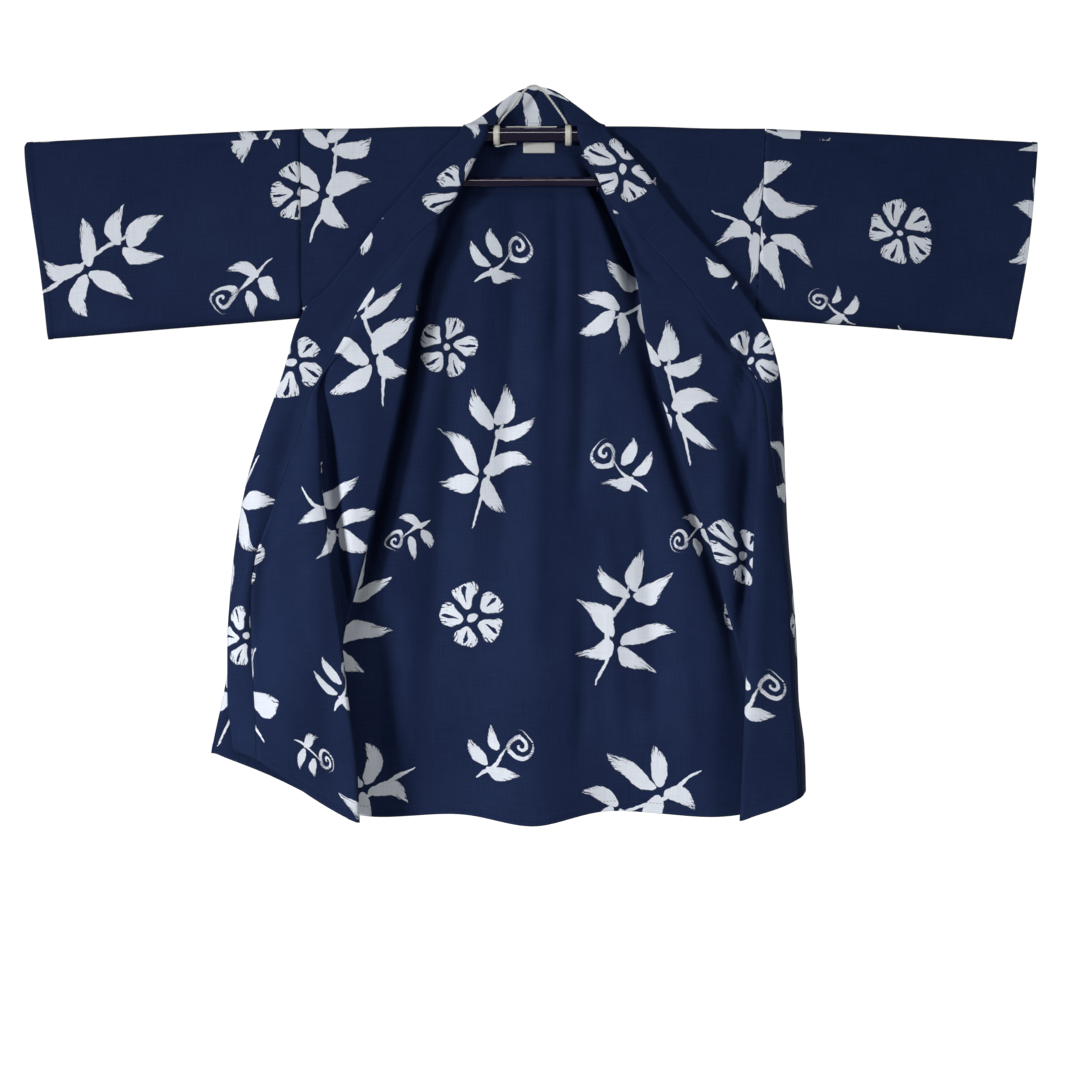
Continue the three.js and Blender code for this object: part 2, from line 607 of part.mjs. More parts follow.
const alongX = (mesh, x, down) => {
  mesh.rotation.z = Math.PI / 2;
  mesh.position.set(x, 0, -down);
};
alongX(add("hanger_tube", pipeGeometry(TUBE), paint(LACQUER, 0.25)), 0, ROD_DOWN);
alongX(add("hanger_lower_bar", rodGeometry(BAR.radius, BAR.half), paint(LACQUER, 0.25)), 0, BAR.down);
for (const [name, side] of Object.entries(SIDES)) {
  add("hanger_arm_" + name, armGeometry(side), paint(LACQUER, 0.25));
  alongX(add("hanger_ring_" + name, pipeGeometry(RING), paint(IVORY, 0.4)), side.sign * RING.out, ROD_DOWN);
  const top = ROD_DOWN + TUBE.radius + SEAM_GAP;
  const bottom = BAR.down - BAR.radius - SEAM_GAP;
  const post = new THREE.CylinderGeometry(POST.radius, POST.radius, bottom - top, 16).rotateX(Math.PI / 2);
  add("hanger_post_" + name, post, paint(LACQUER, 0.25)).position.set(side.sign * POST.out, 0, -(top + bottom) / 2);
}
add("hanger_cord", cordGeometry(), paint(WHITE, 0.7));

export default group;
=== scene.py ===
"""A short cotton yukata, hung open on a telescopic kimono hanger.

The frame is +X the viewer's right, -Y the open front and +Z up, with the origin at the top of the hanger's cord.
The garment's tables are in millimetres, as it was cut, and MM turns them into Blender's metres. "down" is the distance
below the origin and "out" the distance from the centre plane. Each cloth piece is a thin wall round a mid-surface, a
grid of points worked out from those tables, with its creases added as soft ridges and troughs.
"""

import json
import math

import bpy
import numpy as np
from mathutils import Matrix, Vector

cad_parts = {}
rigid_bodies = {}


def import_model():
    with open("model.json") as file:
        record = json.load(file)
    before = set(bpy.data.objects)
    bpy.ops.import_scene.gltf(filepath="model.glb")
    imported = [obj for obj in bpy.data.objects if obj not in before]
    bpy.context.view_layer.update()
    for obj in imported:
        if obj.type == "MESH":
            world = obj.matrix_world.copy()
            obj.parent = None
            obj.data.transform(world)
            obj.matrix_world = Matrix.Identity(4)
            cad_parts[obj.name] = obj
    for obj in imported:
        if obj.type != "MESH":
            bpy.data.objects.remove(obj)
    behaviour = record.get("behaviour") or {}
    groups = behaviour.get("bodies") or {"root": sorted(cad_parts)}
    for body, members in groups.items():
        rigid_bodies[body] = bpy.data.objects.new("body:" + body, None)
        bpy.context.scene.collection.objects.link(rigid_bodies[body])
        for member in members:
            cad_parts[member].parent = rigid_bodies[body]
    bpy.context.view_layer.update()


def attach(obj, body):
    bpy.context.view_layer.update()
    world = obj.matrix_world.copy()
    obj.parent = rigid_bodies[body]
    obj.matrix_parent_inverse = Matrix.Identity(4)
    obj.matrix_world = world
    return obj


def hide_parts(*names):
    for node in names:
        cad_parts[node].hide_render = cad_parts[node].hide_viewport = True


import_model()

MM = 0.001

# ---------- the hanger and the garment, in millimetres ----------
ROD_DOWN = 66  # axis of the tube and of the arms
TUBE_RADIUS, TUBE_HALF = 10, 150
TUBE_BLEND = (5, 45)  # past the tube's end the cloth narrows to the arm: where from, and over what length
ARM_RADIUS, ARM_OUTER, ARM_BEND, ARM_DROP = 7, 630, 290, 17
ARM_DROOP = 1.1  # power of the arm's fall along its length
ARM_REACH = 1.1  # the cloth goes on past the arm's end to this share of its length
RING_OUT, RING_RADIUS = 46, 13.5
CORD_RADIUS = 1.5

CLOTH = 1.2  # the wall that the grids are worked out for
EASE = 0.6
EDGE = 0.3  # half the distance between two mid-surfaces at a sewn seam
BODY_DEPTH = 12
CUFF_DEPTH = 9
SLEEVE_TAPER = (300, 340)  # the depth falls towards the cuff's: where from, and over what length
SHOULDER_BLEND = 60
FOLD_RADIUS = 4.5
HIDDEN_TURN = 24  # least width of the part that is turned outward, some of it hidden behind the fold
REAR_CLEARANCE = 3  # how far outside that hidden part the lower layer ends
PLEAT_PROUD = 1.4  # how much prouder the soft pleat stands than the plain solid's
SOFT_BOW = 2  # of a pleat's flat parts
SIDE_ROUND = 20
SIDE_LIFT = 2  # how much higher a front's hem is than the back's at the side seam
ARMPIT_DOWN, ARMPIT_BLEND = 301, 3
UNDERARM_ROUND = 14
CUFF_BOTTOM = 328
SLEEVE_GAP = 0.5
SLEEVE_MIDDLE = 180
SWAY, SWAY_TURN = 1.5, 9  # a sleeve sways to and fro by this much, and through this angle on its way to the cuff
COLLAR_WIDTH = 52
COLLAR_GAP = 0.1
COLLAR_TURNED = 0.18  # least share of the collar's width before it turns
COLLAR_RISE = 1.8  # power at which it comes forward towards its free edge
NECK_OUT, NECK_BLEND = 79, 32
NECK_TOP, NECK_DEPTH = 55, 17
NECK_FADE = (80, 160)  # the neck's greater depth fades: where from, and over what length

# ---------- small helpers ----------


def lerp(a, b, t):
    return a + (b - a) * t


def clamp(x, low, high):
    return min(high, max(low, x))


def smooth(x):
    t = clamp(x, 0.0, 1.0)
    return t * t * (3 - 2 * t)


def placed(name, data):
    obj = bpy.data.objects.new(name, data)
    bpy.context.scene.collection.objects.link(obj)
    return obj


def curve(xs, ys):
    """A smooth curve through points that never swings past them."""
    slopes = [(y1 - y0) / (x1 - x0) for x0, x1, y0, y1 in zip(xs, xs[1:], ys, ys[1:])]
    tangents = [slopes[0]]
    for before, after in zip(slopes, slopes[1:]):
        turns = before * after <= 0
        tangents.append(0 if turns else 2 * before * after / (before + after))
    tangents.append(slopes[-1])

    def at(x):
        x = clamp(x, xs[0], xs[-1])
        i = 0
        while i < len(xs) - 2 and x > xs[i + 1]:
            i += 1
        wide = xs[i + 1] - xs[i]
        t = (x - xs[i]) / wide
        rise = ys[i + 1] - ys[i]
        a = tangents[i] * wide - rise
        b = rise - tangents[i + 1] * wide
        return ys[i] + rise * t + t * (1 - t) * (a * (1 - t) + b * t)

    return at


class Table:
    """A table with named columns, as one curve for each column over the first."""

    def __init__(self, names, rows):
        over = [row[0] for row in rows]
        for i, name in enumerate(names.split()[1:]):
            setattr(self, name, curve(over, [row[i + 1] for row in rows]))


def bspline(points, factor, axis=0, ring=False):
    """A grid refined along one axis by a cubic B-spline that keeps its first and last point."""
    p = np.moveaxis(np.asarray(points, float), axis, 0)
    if ring:
        p = np.concatenate([p[-1:], p, p[:2]])
    else:
        p = np.concatenate([2 * p[:1] - p[1:2], p, 2 * p[-1:] - p[-2:-1]])
    made = []
    for i in range(len(p) - 3):
        for k in range(factor):
            t = k / factor
            weights = (
                (1 - t) ** 3 / 6,
                (3 * t**3 - 6 * t**2 + 4) / 6,
                (-3 * t**3 + 3 * t**2 + 3 * t + 1) / 6,
                t**3 / 6,
            )
            made.append(sum(w * p[i + j] for j, w in enumerate(weights)))
    if not ring:
        made.append(p[-2])
    return np.moveaxis(np.array(made), 0, axis)


# ---------- the cut and the folds, as tables ----------
FOLD_NAMES = "down side fold past valley ridge pleat edge up front"


class Side:
    def __init__(self, sign, folds, cuff, hem, pleat_start, pleat_fade):
        self.sign = sign
        self.pleat_start, self.pleat_fade = pleat_start, pleat_fade
        self.folds = Table(FOLD_NAMES, folds)
        self.cuff = Table("down out", cuff)
        self.hem = Table("out down", hem)


LEFT = Side(
    sign=-1,
    pleat_start=290,
    pleat_fade=80,
    folds=[
        (54, 298, 42, -37, 75, 77, 0, 79, 1, 10),
        (86, 298, 62, -27, 90, 95, 0, 92, 22, 17),
        (130, 297, 87, -16, 110, 115, 0, 124, 35, 19),
        (158, 297, 104, -6, 125, 130, 0, 146, 38, 19),
        (175, 297, 112, 12, 130, 135, 0, 163, 34, 20),
        (193, 297, 119, 32, 140, 145, 0, 180, 33, 20),
        (224, 297, 132, 41, 155, 160, 0, 209, 28, 20),
        (240, 297, 139, 49, 165, 172, 0, 222, 26, 20),
        (284, 296, 148, 74, 215, 218, 0, 262, 21, 19),
        (306, 296, 151, 81, 226, 228, 0, 290, 18, 19),
        (342, 310, 156, 94, 244, 246, 0, 304, 24, 21),
        (374, 316, 162, 108, 267, 267, 0, 314, 19, 21.5),
        (395, 320, 166, 116, 278, 276, 5, 321, 17, 22),
        (459, 333, 180, 121, 283, 271, 10, 346, 9, 20),
        (510, 343, 192, 127, 279, 269, 14, 364, 4, 14),
        (555, 352, 202, 134, 274, 263, 14, 374, 2, 8),
        (601, 361, 212, 140, 268, 257, 14, 382, 1, 0),
        (653, 371, 226, 134, 262, 252, 14, 387, 0, 0),
        (723, 385, 243, 116, 256, 242, 14, 390, 0, 10),
        (790, 398, 237, 118, 249, 235, 14, 390, 4, 16),
        (865, 413, 227, 125, 240, 224, 14, 383, 11, 18),
        (950, 420, 223, 127, 236, 220, 14, 381, 11, 18),
    ],
    cuff=[(70, 645), (84, 652), (126, 649), (194, 638), (277, 627), (330, 622)],
    hem=[(0, 948), (223, 946), (250, 933), (280, 915), (304, 898), (325, 883), (346, 869), (366, 858), (390, 855)],
)
RIGHT = Side(
    sign=1,
    pleat_start=290,
    pleat_fade=90,
    folds=[
        (54, 300, 46, -33, 73, 75, 0, 86, 1, 10),
        (86, 297, 61, -23, 85, 90, 0, 98, 21, 18),
        (118, 296, 80.5, -9.5, 95, 100, 0, 120, 31, 21),
        (150, 295, 93, 0, 110, 115, 0, 147, 31, 23),
        (175, 293, 102, 18, 115, 120, 0, 161, 37, 24),
        (193, 292, 110, 28, 125, 130, 0, 176, 35, 24),
        (224, 290, 124, 43, 150, 155, 0, 204, 33, 24),
        (240, 289, 131, 51, 160, 165, 0, 219, 33, 24),
        (284, 287, 138, 80, 210, 213, 0, 257, 34, 23),
        (306, 287, 141, 92, 227, 229, 0, 274, 31, 22),
        (342, 298, 147, 112, 252, 254, 0, 297, 32, 22),
        (395, 305, 162, 133, 287, 286, 3, 318, 12, 12),
        (459, 311, 182, 121, 293, 288, 10, 323, 5, -6),
        (510, 314, 198, 112, 301, 285, 14, 325, 2, -6),
        (555, 317, 213, 103, 307, 283, 14, 327, 1, -6),
        (601, 320, 231, 89, 312, 281, 14, 330, 0, -6),
        (653, 324, 242, 84, 315, 279, 14, 335, 0, -6),
        (723, 329, 262, 68, 316, 274, 14, 340, 0, -6),
        (790, 333, 275, 58, 314, 271, 14, 342, 2, -6),
        (865, 338, 279, 60, 312, 268, 14, 350, 6, -6),
        (950, 341, 283, 58, 310, 264, 14, 352, 7, -6),
    ],
    cuff=[(70, 648), (84, 648), (131, 644), (204, 639), (242, 632), (290, 623), (330, 616)],
    hem=[(0, 944), (264, 944), (281, 938), (308, 930), (331, 921), (345, 912), (352, 906)],
)
SIDES = {"left": LEFT, "right": RIGHT}

BACK_HEM = Table(
    "x down",
    [(-420, 860), (-413, 860), (-395, 867), (-346, 884), (-300, 908), (-250, 932), (-220, 947), (-178, 944)]
    + [(-145, 941), (-103, 939), (-75, 941), (-40, 950), (0, 957), (15, 955), (46, 946), (79, 938), (110, 934)]
    + [(138, 937), (189, 941), (228, 944), (264, 944), (281, 938), (308, 930), (331, 921), (349, 906), (360, 900)],
)
BACK_WAVES = Table(
    "x back",
    [(-420, 0), (-360, 0), (-300, 4), (-235, -6), (-170, 6), (-105, 14), (-50, 4)]
    + [(5, -10), (60, 4), (112, 15), (170, 5), (235, -7), (300, 3), (360, 0)],
)
WAVES_START, WAVES_FULL, WAVES_POWER = 190, 950, 1.3

# Place along the neckline, the line where the collar turns outward and its free edge, each (out, back, down).
NECK = {
    "left": [
        (0, (0, 15.5, 27), (0, 14, 0.8)),
        (20, (18, 12, 22), (20, 11, 7)),
        (38, (30, 7, 30), (34, 9, 17)),
        (54, (39, 0, 39), (48, 6, 28)),
        (68, (43, -6, 48), (66, 0, 42)),
        (79, (44, -12, 56), (79, -9, 52)),
    ],
    "right": [
        (0, (0, 15.5, 27), (0, 14, 0.8)),
        (20, (17, 12, 20), (20, 11, 3)),
        (38, (31, 7, 27), (36, 9, 11)),
        (54, (41, 1, 38), (52, 6, 24)),
        (68, (44, -5, 47), (69, 0, 37)),
        (79, (47, -12, 56), (85, -9, 52)),
    ],
}

# ---------- form of the cloth ----------
ROW_PITCH = 7  # between two rows of a refined grid
FRONT_ROWS, BACK_ROWS = 870, 875  # the lengths that the rows are spread over
HEM_GUESS, ROW_PASSES = 900.0, 8  # a row's depth is closed in on from here
HEM_STITCH = 13  # of the hem's seam above its edge
HEM_ROWS = (16, 14.6, 13.6, 13, 12.4, 11, 7, 3.5, 1.2, 0)  # above the edge
CUFF_ROWS = (7, 6.2, 5.6, 5, 3, 1.2, 0)  # above the edge
CUFF_STITCH = 5.6
WRAP = range(0, 91, 10)  # degrees round the rod
WRAP_RADIUS = 10  # of the cloth's own length round the rod
SIDE_STEPS = (0, 2.4, 8, 20)
REAR_STEPS = (0.35, 0.7, 1)
# How far each column of the turned-out part lies along it while no pleat shows.
FLAT_STEPS = (
    (0, 0.03, 0.06, 0.16, 0.28, 0.40, 0.50, 0.51, 0.52, 0.53, 0.54, 0.55, 0.56)
    + (0.58, 0.59, 0.60, 0.61, 0.62, 0.63, 0.65, 0.72, 0.79, 0.86, 0.93, 1)
)
FOLD_TURNS = (-60, -30, 0, 30, 60)
FOLD_CORNER = 0.3  # how far a fold's middle stays inside its corner, as a share of its radius
REAR_COLUMNS = len(SIDE_STEPS) + len(REAR_STEPS)
FRONT_COLUMNS = REAR_COLUMNS + len(FLAT_STEPS)
REFINE, BACK_REFINE, SLEEVE_REFINE, COLLAR_REFINE = 3, 6, 4, 5  # columns of a refined grid for each one worked out
PLAIN, HEMMED, COLLAR_THICK = 0.9, 1.7, 1.4  # thickness of the cloth, where it is turned up, and of the collar
GROOVE, GROOVE_HALF = 0.8, 0.7  # share of the wall left along a hem's stitches, and the groove's half width
REAR_END = REAR_COLUMNS * REFINE  # first refined column of the part turned outward
PLEAT_VALLEY = (REAR_COLUMNS + 9) * REFINE  # the middle of the pleat's hidden fold
# Where the collar's columns lie: in its standing part and in its turned part, at the neck and down the fronts.
NECK_FOOT, NECK_SHARES = 0.55, (0.25, 0.6)
FRONT_FOOT, FRONT_SHARES = 0.6, (0.2, 0.55)
COLLAR_FIRST_ROW = 3  # of a front's rows, the first that the collar follows
RELAX_TIMES, RELAX_FROM = 8, len(WRAP) + 4


def wrap_radius(out):
    """Half depth of the cloth where it wraps over the hanger."""
    taper = smooth((out - TUBE_HALF - TUBE_BLEND[0]) / TUBE_BLEND[1])
    return lerp(TUBE_RADIUS, ARM_RADIUS, taper) + EASE + CLOTH / 2


def axis_down(out):
    along = clamp((out - ARM_BEND) / (ARM_OUTER - ARM_BEND), 0, ARM_REACH)
    return ROD_DOWN + ARM_DROP * along**ARM_DROOP


def open_depth(out, down):
    to_cuff = clamp((out - SLEEVE_TAPER[0]) / SLEEVE_TAPER[1], 0, 1)
    wanted = lerp(BODY_DEPTH, CUFF_DEPTH, to_cuff)
    return lerp(wrap_radius(out), wanted, smooth((down - axis_down(out)) / SHOULDER_BLEND))


def openness(side, out, down):
    """1 where front and back stand apart, falling to 0 at the side seam, which begins at the armpit."""
    closed = smooth((down - ARMPIT_DOWN + UNDERARM_ROUND) / (UNDERARM_ROUND + ARMPIT_BLEND))
    inward = clamp((side.folds.side(down) - out) / SIDE_ROUND, 0, 1)
    return lerp(1, math.sqrt(1 - (1 - inward) ** 2), closed)


def side_depth(side, out, down):
    return EDGE + (open_depth(out, down) - EDGE) * openness(side, out, down)


def fold_point(side, over, down):
    """(out, front) of a front or its collar, `over` past the outward fold."""
    fold = side.folds.fold(down)
    quarter = FOLD_RADIUS * math.pi / 2
    turn = clamp(over / FOLD_RADIUS, -math.pi / 2, math.pi / 2)
    out = fold + FOLD_RADIUS * (1 - math.cos(turn)) + max(0, abs(over) - quarter)
    if over <= -quarter:
        return out, side_depth(side, out, down)
    return out, side_depth(side, fold, down) + FOLD_RADIUS * (1 + math.sin(turn))


def turn_points(out, front, radius):
    """Points round a fold, from below it to above. It opens outward where the radius is below zero."""
    turns = (math.radians(degrees) for degrees in FOLD_TURNS)
    return [(out + radius * math.cos(a), front + abs(radius) * math.sin(a)) for a in turns]


def pleat_path(side, down):
    """(out, front) along the hanging pleat of a front, from the fold to the collar's seam."""
    folds = side.folds
    fold, end = folds.fold(down), folds.fold(down) + folds.past(down)
    deep, proud = folds.valley(down), folds.ridge(down)
    turn = folds.pleat(down) * PLEAT_PROUD / 4  # radius of its two folds
    base = side_depth(side, fold, down) + 2 * FOLD_RADIUS
    top = base + 4 * turn
    start = fold + FOLD_RADIUS
    corner = FOLD_CORNER * FOLD_RADIUS
    path = [(fold, base - FOLD_RADIUS), (fold + corner, base - corner), (start, base)]
    path += [(lerp(start, deep - turn, t), base + SOFT_BOW * math.sin(math.pi * t)) for t in (0.25, 0.5, 0.75)]
    path += [(deep - turn, base), *turn_points(deep - turn, base + turn, turn), (deep - turn, base + 2 * turn)]
    path.append((proud + turn, base + 2 * turn))
    path += [*turn_points(proud + turn, base + 3 * turn, -turn), (proud + turn, top)]
    seam = base + folds.pleat(down)
    for t in (0.2, 0.4, 0.6, 0.8, 1):
        path.append((lerp(proud + turn, end, t), lerp(top, seam, t) + SOFT_BOW * math.sin(math.pi * t)))
    return path


def front_point(side, column, down):
    """(out, front) of a front in one column at one height, from the side seam to the collar's seam."""
    folds = side.folds
    past, seam_side = folds.past(down), folds.side(down)
    turn_start = min(0, past - HIDDEN_TURN)
    rear_end = folds.fold(down) + max(FOLD_RADIUS, REAR_CLEARANCE - turn_start)
    if column < len(SIDE_STEPS):
        out = seam_side - SIDE_STEPS[column]
        return out, side_depth(side, out, down)
    if column < REAR_COLUMNS:
        out = lerp(seam_side - SIDE_ROUND, rear_end, REAR_STEPS[column - len(SIDE_STEPS)])
        return out, side_depth(side, out, down)
    step = column - REAR_COLUMNS
    flat = fold_point(side, lerp(turn_start, past, FLAT_STEPS[step]), down)
    folded = smooth((down - side.pleat_start) / side.pleat_fade)
    if not folded:
        return flat
    pleated = pleat_path(side, down)[step]
    return lerp(flat[0], pleated[0], folded), lerp(flat[1], pleated[1], folded)


def row_down(hem_of, out_at, above):
    """The depth of a row that is a share of the way to the hem, or `above` it. `above` is (share, distance)."""
    share, distance = above
    down = HEM_GUESS
    for _ in range(ROW_PASSES):
        down = lerp(ROD_DOWN, hem_of(out_at(down)) - distance, share)
    return down


def row_places(length):
    """(share, distance above the hem) of each row below the rod."""
    count = round((length - HEM_ROWS[0]) / ROW_PITCH)
    return [((i + 1) / count, HEM_ROWS[0]) for i in range(count)] + [(1, d) for d in HEM_ROWS[1:]]


def cloth_grid(columns, over_rod, hanging, length, radius):
    """Points (rows, columns, 3) of a cloth hung over the rod, and how far down the cloth each lies.

    over_rod(column, turn) is a point where the cloth wraps the rod, and hanging(column, above) one below it."""
    turns = [math.radians(angle) for angle in WRAP]
    rows = [[over_rod(column, turn) for column in range(columns)] for turn in turns]
    lengths = [[ROD_DOWN - radius * (math.pi / 2 - turn)] * columns for turn in turns]
    for above in row_places(length):
        rows.append([hanging(column, above) for column in range(columns)])
        lengths.append([-p[2] for p in rows[-1]])
    return np.array(rows), np.array(lengths)


def front_grid(side):
    def over_rod(column, turn):
        out = front_point(side, column, ROD_DOWN)[0]
        radius = wrap_radius(out)
        front = EDGE + (radius - EDGE) * math.sin(turn)
        return side.sign * out, -front, radius * math.cos(turn) - ROD_DOWN

    def rear_hem(out):
        return BACK_HEM.down(side.sign * out) - SIDE_LIFT

    def hanging(column, above):
        hem_of = rear_hem if column < REAR_COLUMNS else side.hem.down
        down = row_down(hem_of, lambda at: front_point(side, column, at)[0], above)
        out, front = front_point(side, column, down)
        return side.sign * out, -front, -down

    return cloth_grid(FRONT_COLUMNS, over_rod, hanging, FRONT_ROWS, wrap_radius(0))


def neck_share(out):
    return smooth((NECK_OUT - out) / NECK_BLEND)


def back_depth(x, down):
    side = LEFT if x < 0 else RIGHT
    out = abs(x)
    hanging = clamp((down - WAVES_START) / (WAVES_FULL - WAVES_START), 0, 1) ** WAVES_POWER
    neck = (NECK_DEPTH - BODY_DEPTH) * neck_share(out) * (1 - smooth((down - NECK_FADE[0]) / NECK_FADE[1]))
    free = open_depth(out, down) + hanging * BACK_WAVES.back(x) + neck
    return EDGE + (free - EDGE) * openness(side, out, down)


def back_top(x, turn):
    radius = wrap_radius(abs(x))
    share = neck_share(abs(x))
    back = lerp(EDGE + (radius - EDGE) * math.sin(turn), NECK_DEPTH, share)
    down = lerp(ROD_DOWN - radius * math.cos(turn), lerp(NECK_TOP, ROD_DOWN, turn / (math.pi / 2)), share)
    return x, back, -down


BACK_MIDDLE = (-0.86, -0.72, -0.58, -0.44, -0.3, -0.2, -0.1, 0, 0.1, 0.2, 0.3, 0.44, 0.58, 0.72, 0.86)
BACK_COLUMNS = 2 * len(SIDE_STEPS) + len(BACK_MIDDLE)


def back_x(column, down):
    last = len(SIDE_STEPS) - 1
    if column <= last:
        return -(LEFT.folds.side(down) - SIDE_STEPS[column])
    if column >= BACK_COLUMNS - 1 - last:
        return RIGHT.folds.side(down) - SIDE_STEPS[BACK_COLUMNS - 1 - column]
    share = BACK_MIDDLE[column - last - 1]
    side = LEFT if share < 0 else RIGHT
    return share * (side.folds.side(down) - SIDE_ROUND)


def back_grid():
    def over_rod(column, turn):
        return back_top(back_x(column, ROD_DOWN), turn)

    def hanging(column, above):
        down = row_down(BACK_HEM.down, lambda at: back_x(column, at), above)
        x = back_x(column, down)
        return x, back_depth(x, down), -down

    return cloth_grid(BACK_COLUMNS, over_rod, hanging, BACK_ROWS, WRAP_RADIUS)


def neck_station(side, seam, roll, edge):
    """The collar's points at one place along the neckline."""
    lift = lerp(CLOTH + 2 * EDGE, CLOTH / 2, neck_share(seam))
    foot = np.array(back_top(side.sign * seam, 0)) + (0, 0, lift)
    turn, free = (np.array((side.sign * out, back, -down)) for out, back, down in (roll, edge))
    return [foot, lerp(foot, turn, NECK_FOOT), turn, *(lerp(turn, free, share) for share in NECK_SHARES), free]


def front_station(side, row):
    """The collar's points at one row of a front, whose last point is at its seam."""
    seam, down, folds = row[-1], -row[-1][2], side.folds
    up, past = folds.up(down), folds.past(down)
    turned = max(COLLAR_TURNED, -past / COLLAR_WIDTH)
    flat_start = FOLD_RADIUS * (math.pi / 2 - 1)  # how much longer the way round the fold is
    over_edge = folds.edge(down) - folds.fold(down - up) + flat_start
    over_seam = side.sign * seam[0] - folds.fold(down) + flat_start if past > 0 else past
    free = max(0, over_seam)
    onward = seam - row[-2]
    points = [seam + onward / np.linalg.norm(onward) * COLLAR_GAP]
    for share in (turned * FRONT_FOOT, turned, *(lerp(turned, 1, share) for share in FRONT_SHARES), 1):
        over, at = lerp(over_seam, over_edge, share), down - up * share
        out, front = fold_point(side, over, max(at, ROD_DOWN))
        if over_seam > FOLD_RADIUS * math.pi / 2:
            front = -seam[1]
        outward = clamp((over - free) / (over_edge - free), 0, 1)
        front = lerp(front, folds.front(down), outward**COLLAR_RISE)
        points.append(np.array((side.sign * out, -front, -at)))
    return points


def collar_grid(fronts):
    """The collar's points from the left hem round the neck to the right hem."""
    halves = []
    for name, side in SIDES.items():
        down_front = np.array([front_station(side, row) for row in fronts[name][COLLAR_FIRST_ROW:]])
        stations = [neck_station(side, *row) for row in NECK[name]]
        neck = bspline(np.array(stations + [down_front[0], down_front[2]]), COLLAR_REFINE)
        halves.append(np.concatenate([neck[: COLLAR_REFINE * len(stations)], down_front]))
    return np.concatenate([halves[0][:0:-1], halves[1]])


SLEEVE_SHARES = np.linspace(0, 1, 52)
SHARE_GAP = 0.01  # between the last of them and the first row of the cuff's hem
RING_DROPS = (0.12, 0.36, 0.62, 0.84, 1)
TOP_TURNS = [math.radians(degrees) for degrees in range(-90, 91, 15)]
UNDERARM_TURNS = [math.radians(degrees) for degrees in (35, 70, 90, 110, 145)]


def sleeve_ring(side, share):
    """A ring of points round a sleeve, a share of the way from its seam at the body to the cuff."""

    def out_at(down):
        seam = side.folds.side(min(down, ARMPIT_DOWN - UNDERARM_ROUND)) + SLEEVE_GAP
        return lerp(seam, side.cuff.out(down), share)

    def point(down, back):
        return side.sign * out_at(down), back, -down

    def layer(facing):
        downs = [lerp(axis, straight, drop) for drop in RING_DROPS]
        return [point(d, facing * open_depth(middle, d) + sway * drop) for d, drop in zip(downs, RING_DROPS)]

    middle = out_at(SLEEVE_MIDDLE)
    axis, radius = axis_down(middle), wrap_radius(middle)
    straight = lerp(ARMPIT_DOWN, CUFF_BOTTOM, share) - UNDERARM_ROUND
    sway = SWAY * math.sin(share * SWAY_TURN)
    depth = open_depth(middle, straight)
    top = [point(axis - radius * math.cos(a), radius * math.sin(a)) for a in TOP_TURNS]
    under = [point(straight + UNDERARM_ROUND * math.sin(a), depth * math.cos(a) + sway) for a in UNDERARM_TURNS]
    return top + layer(1) + under + layer(-1)[::-1]


def sleeve_grid(side):
    """A sleeve's rings from the body to the cuff, where they lie closer for its hem."""
    cuff_length = side.cuff.out(SLEEVE_MIDDLE) - side.folds.side(SLEEVE_MIDDLE)
    hem = [1 - d / cuff_length for d in CUFF_ROWS]
    plain = [s for s in SLEEVE_SHARES if s < hem[0] - SHARE_GAP]
    return np.array([sleeve_ring(side, share) for share in plain + hem])


def relax(grid, times, start, end):
    """Evens a grid out along its rows' direction between two rows, so that a change in the folds comes softly."""
    grid = grid.copy()
    for _ in range(times):
        inner = grid[start:end]
        grid[start:end] = (grid[start - 1 : end - 1] + 2 * inner + grid[start + 1 : end + 1]) / 4
    return grid


# ---------- creases ----------
# Each crease is (depth, width, path): how far it stands towards the viewer, below zero for a trough, how far it
# spreads to each side, and its points (x, down).
LEFT_TURNED = [
    (-2.4, 10, [(-163, 100), (-168, 122), (-168, 150)]),
    (2, 10, [(-178, 96), (-186, 130), (-186, 165)]),
    (3, 16, [(-150, 215), (-196, 280), (-255, 362)]),
    (-3, 12, [(-165, 205), (-214, 270), (-262, 335)]),
    # the part between the pleat and the inner fold bulges
    (5, 22, [(-222, 380), (-222, 500), (-232, 590)]),
    # the panel sinks along the collar's seam, and stands forward on both sides of it
    (-7, 16, [(-286, 386), (-300, 430), (-318, 500), (-334, 560), (-346, 640), (-352, 740)]),
    (7, 20, [(-318, 392), (-344, 460), (-362, 560), (-378, 660), (-392, 760)]),
    (5, 18, [(-282, 430), (-284, 500), (-282, 580), (-276, 680), (-268, 780)]),
    (-4, 9, [(-304, 362), (-318, 376), (-322, 400)]),
    (9, 30, [(-398, 640), (-410, 760), (-418, 850)]),
    (-6, 20, [(-350, 660), (-356, 760), (-350, 850)]),
    (5, 24, [(-300, 700), (-306, 780), (-312, 860)]),
    (-4, 14, [(-262, 760), (-258, 860), (-256, 930)]),
]
RIGHT_VALLEY = [(280, 430), (281, 459), (279, 510), (277, 555), (275, 601), (272, 653), (268, 723)]  # of the pleat
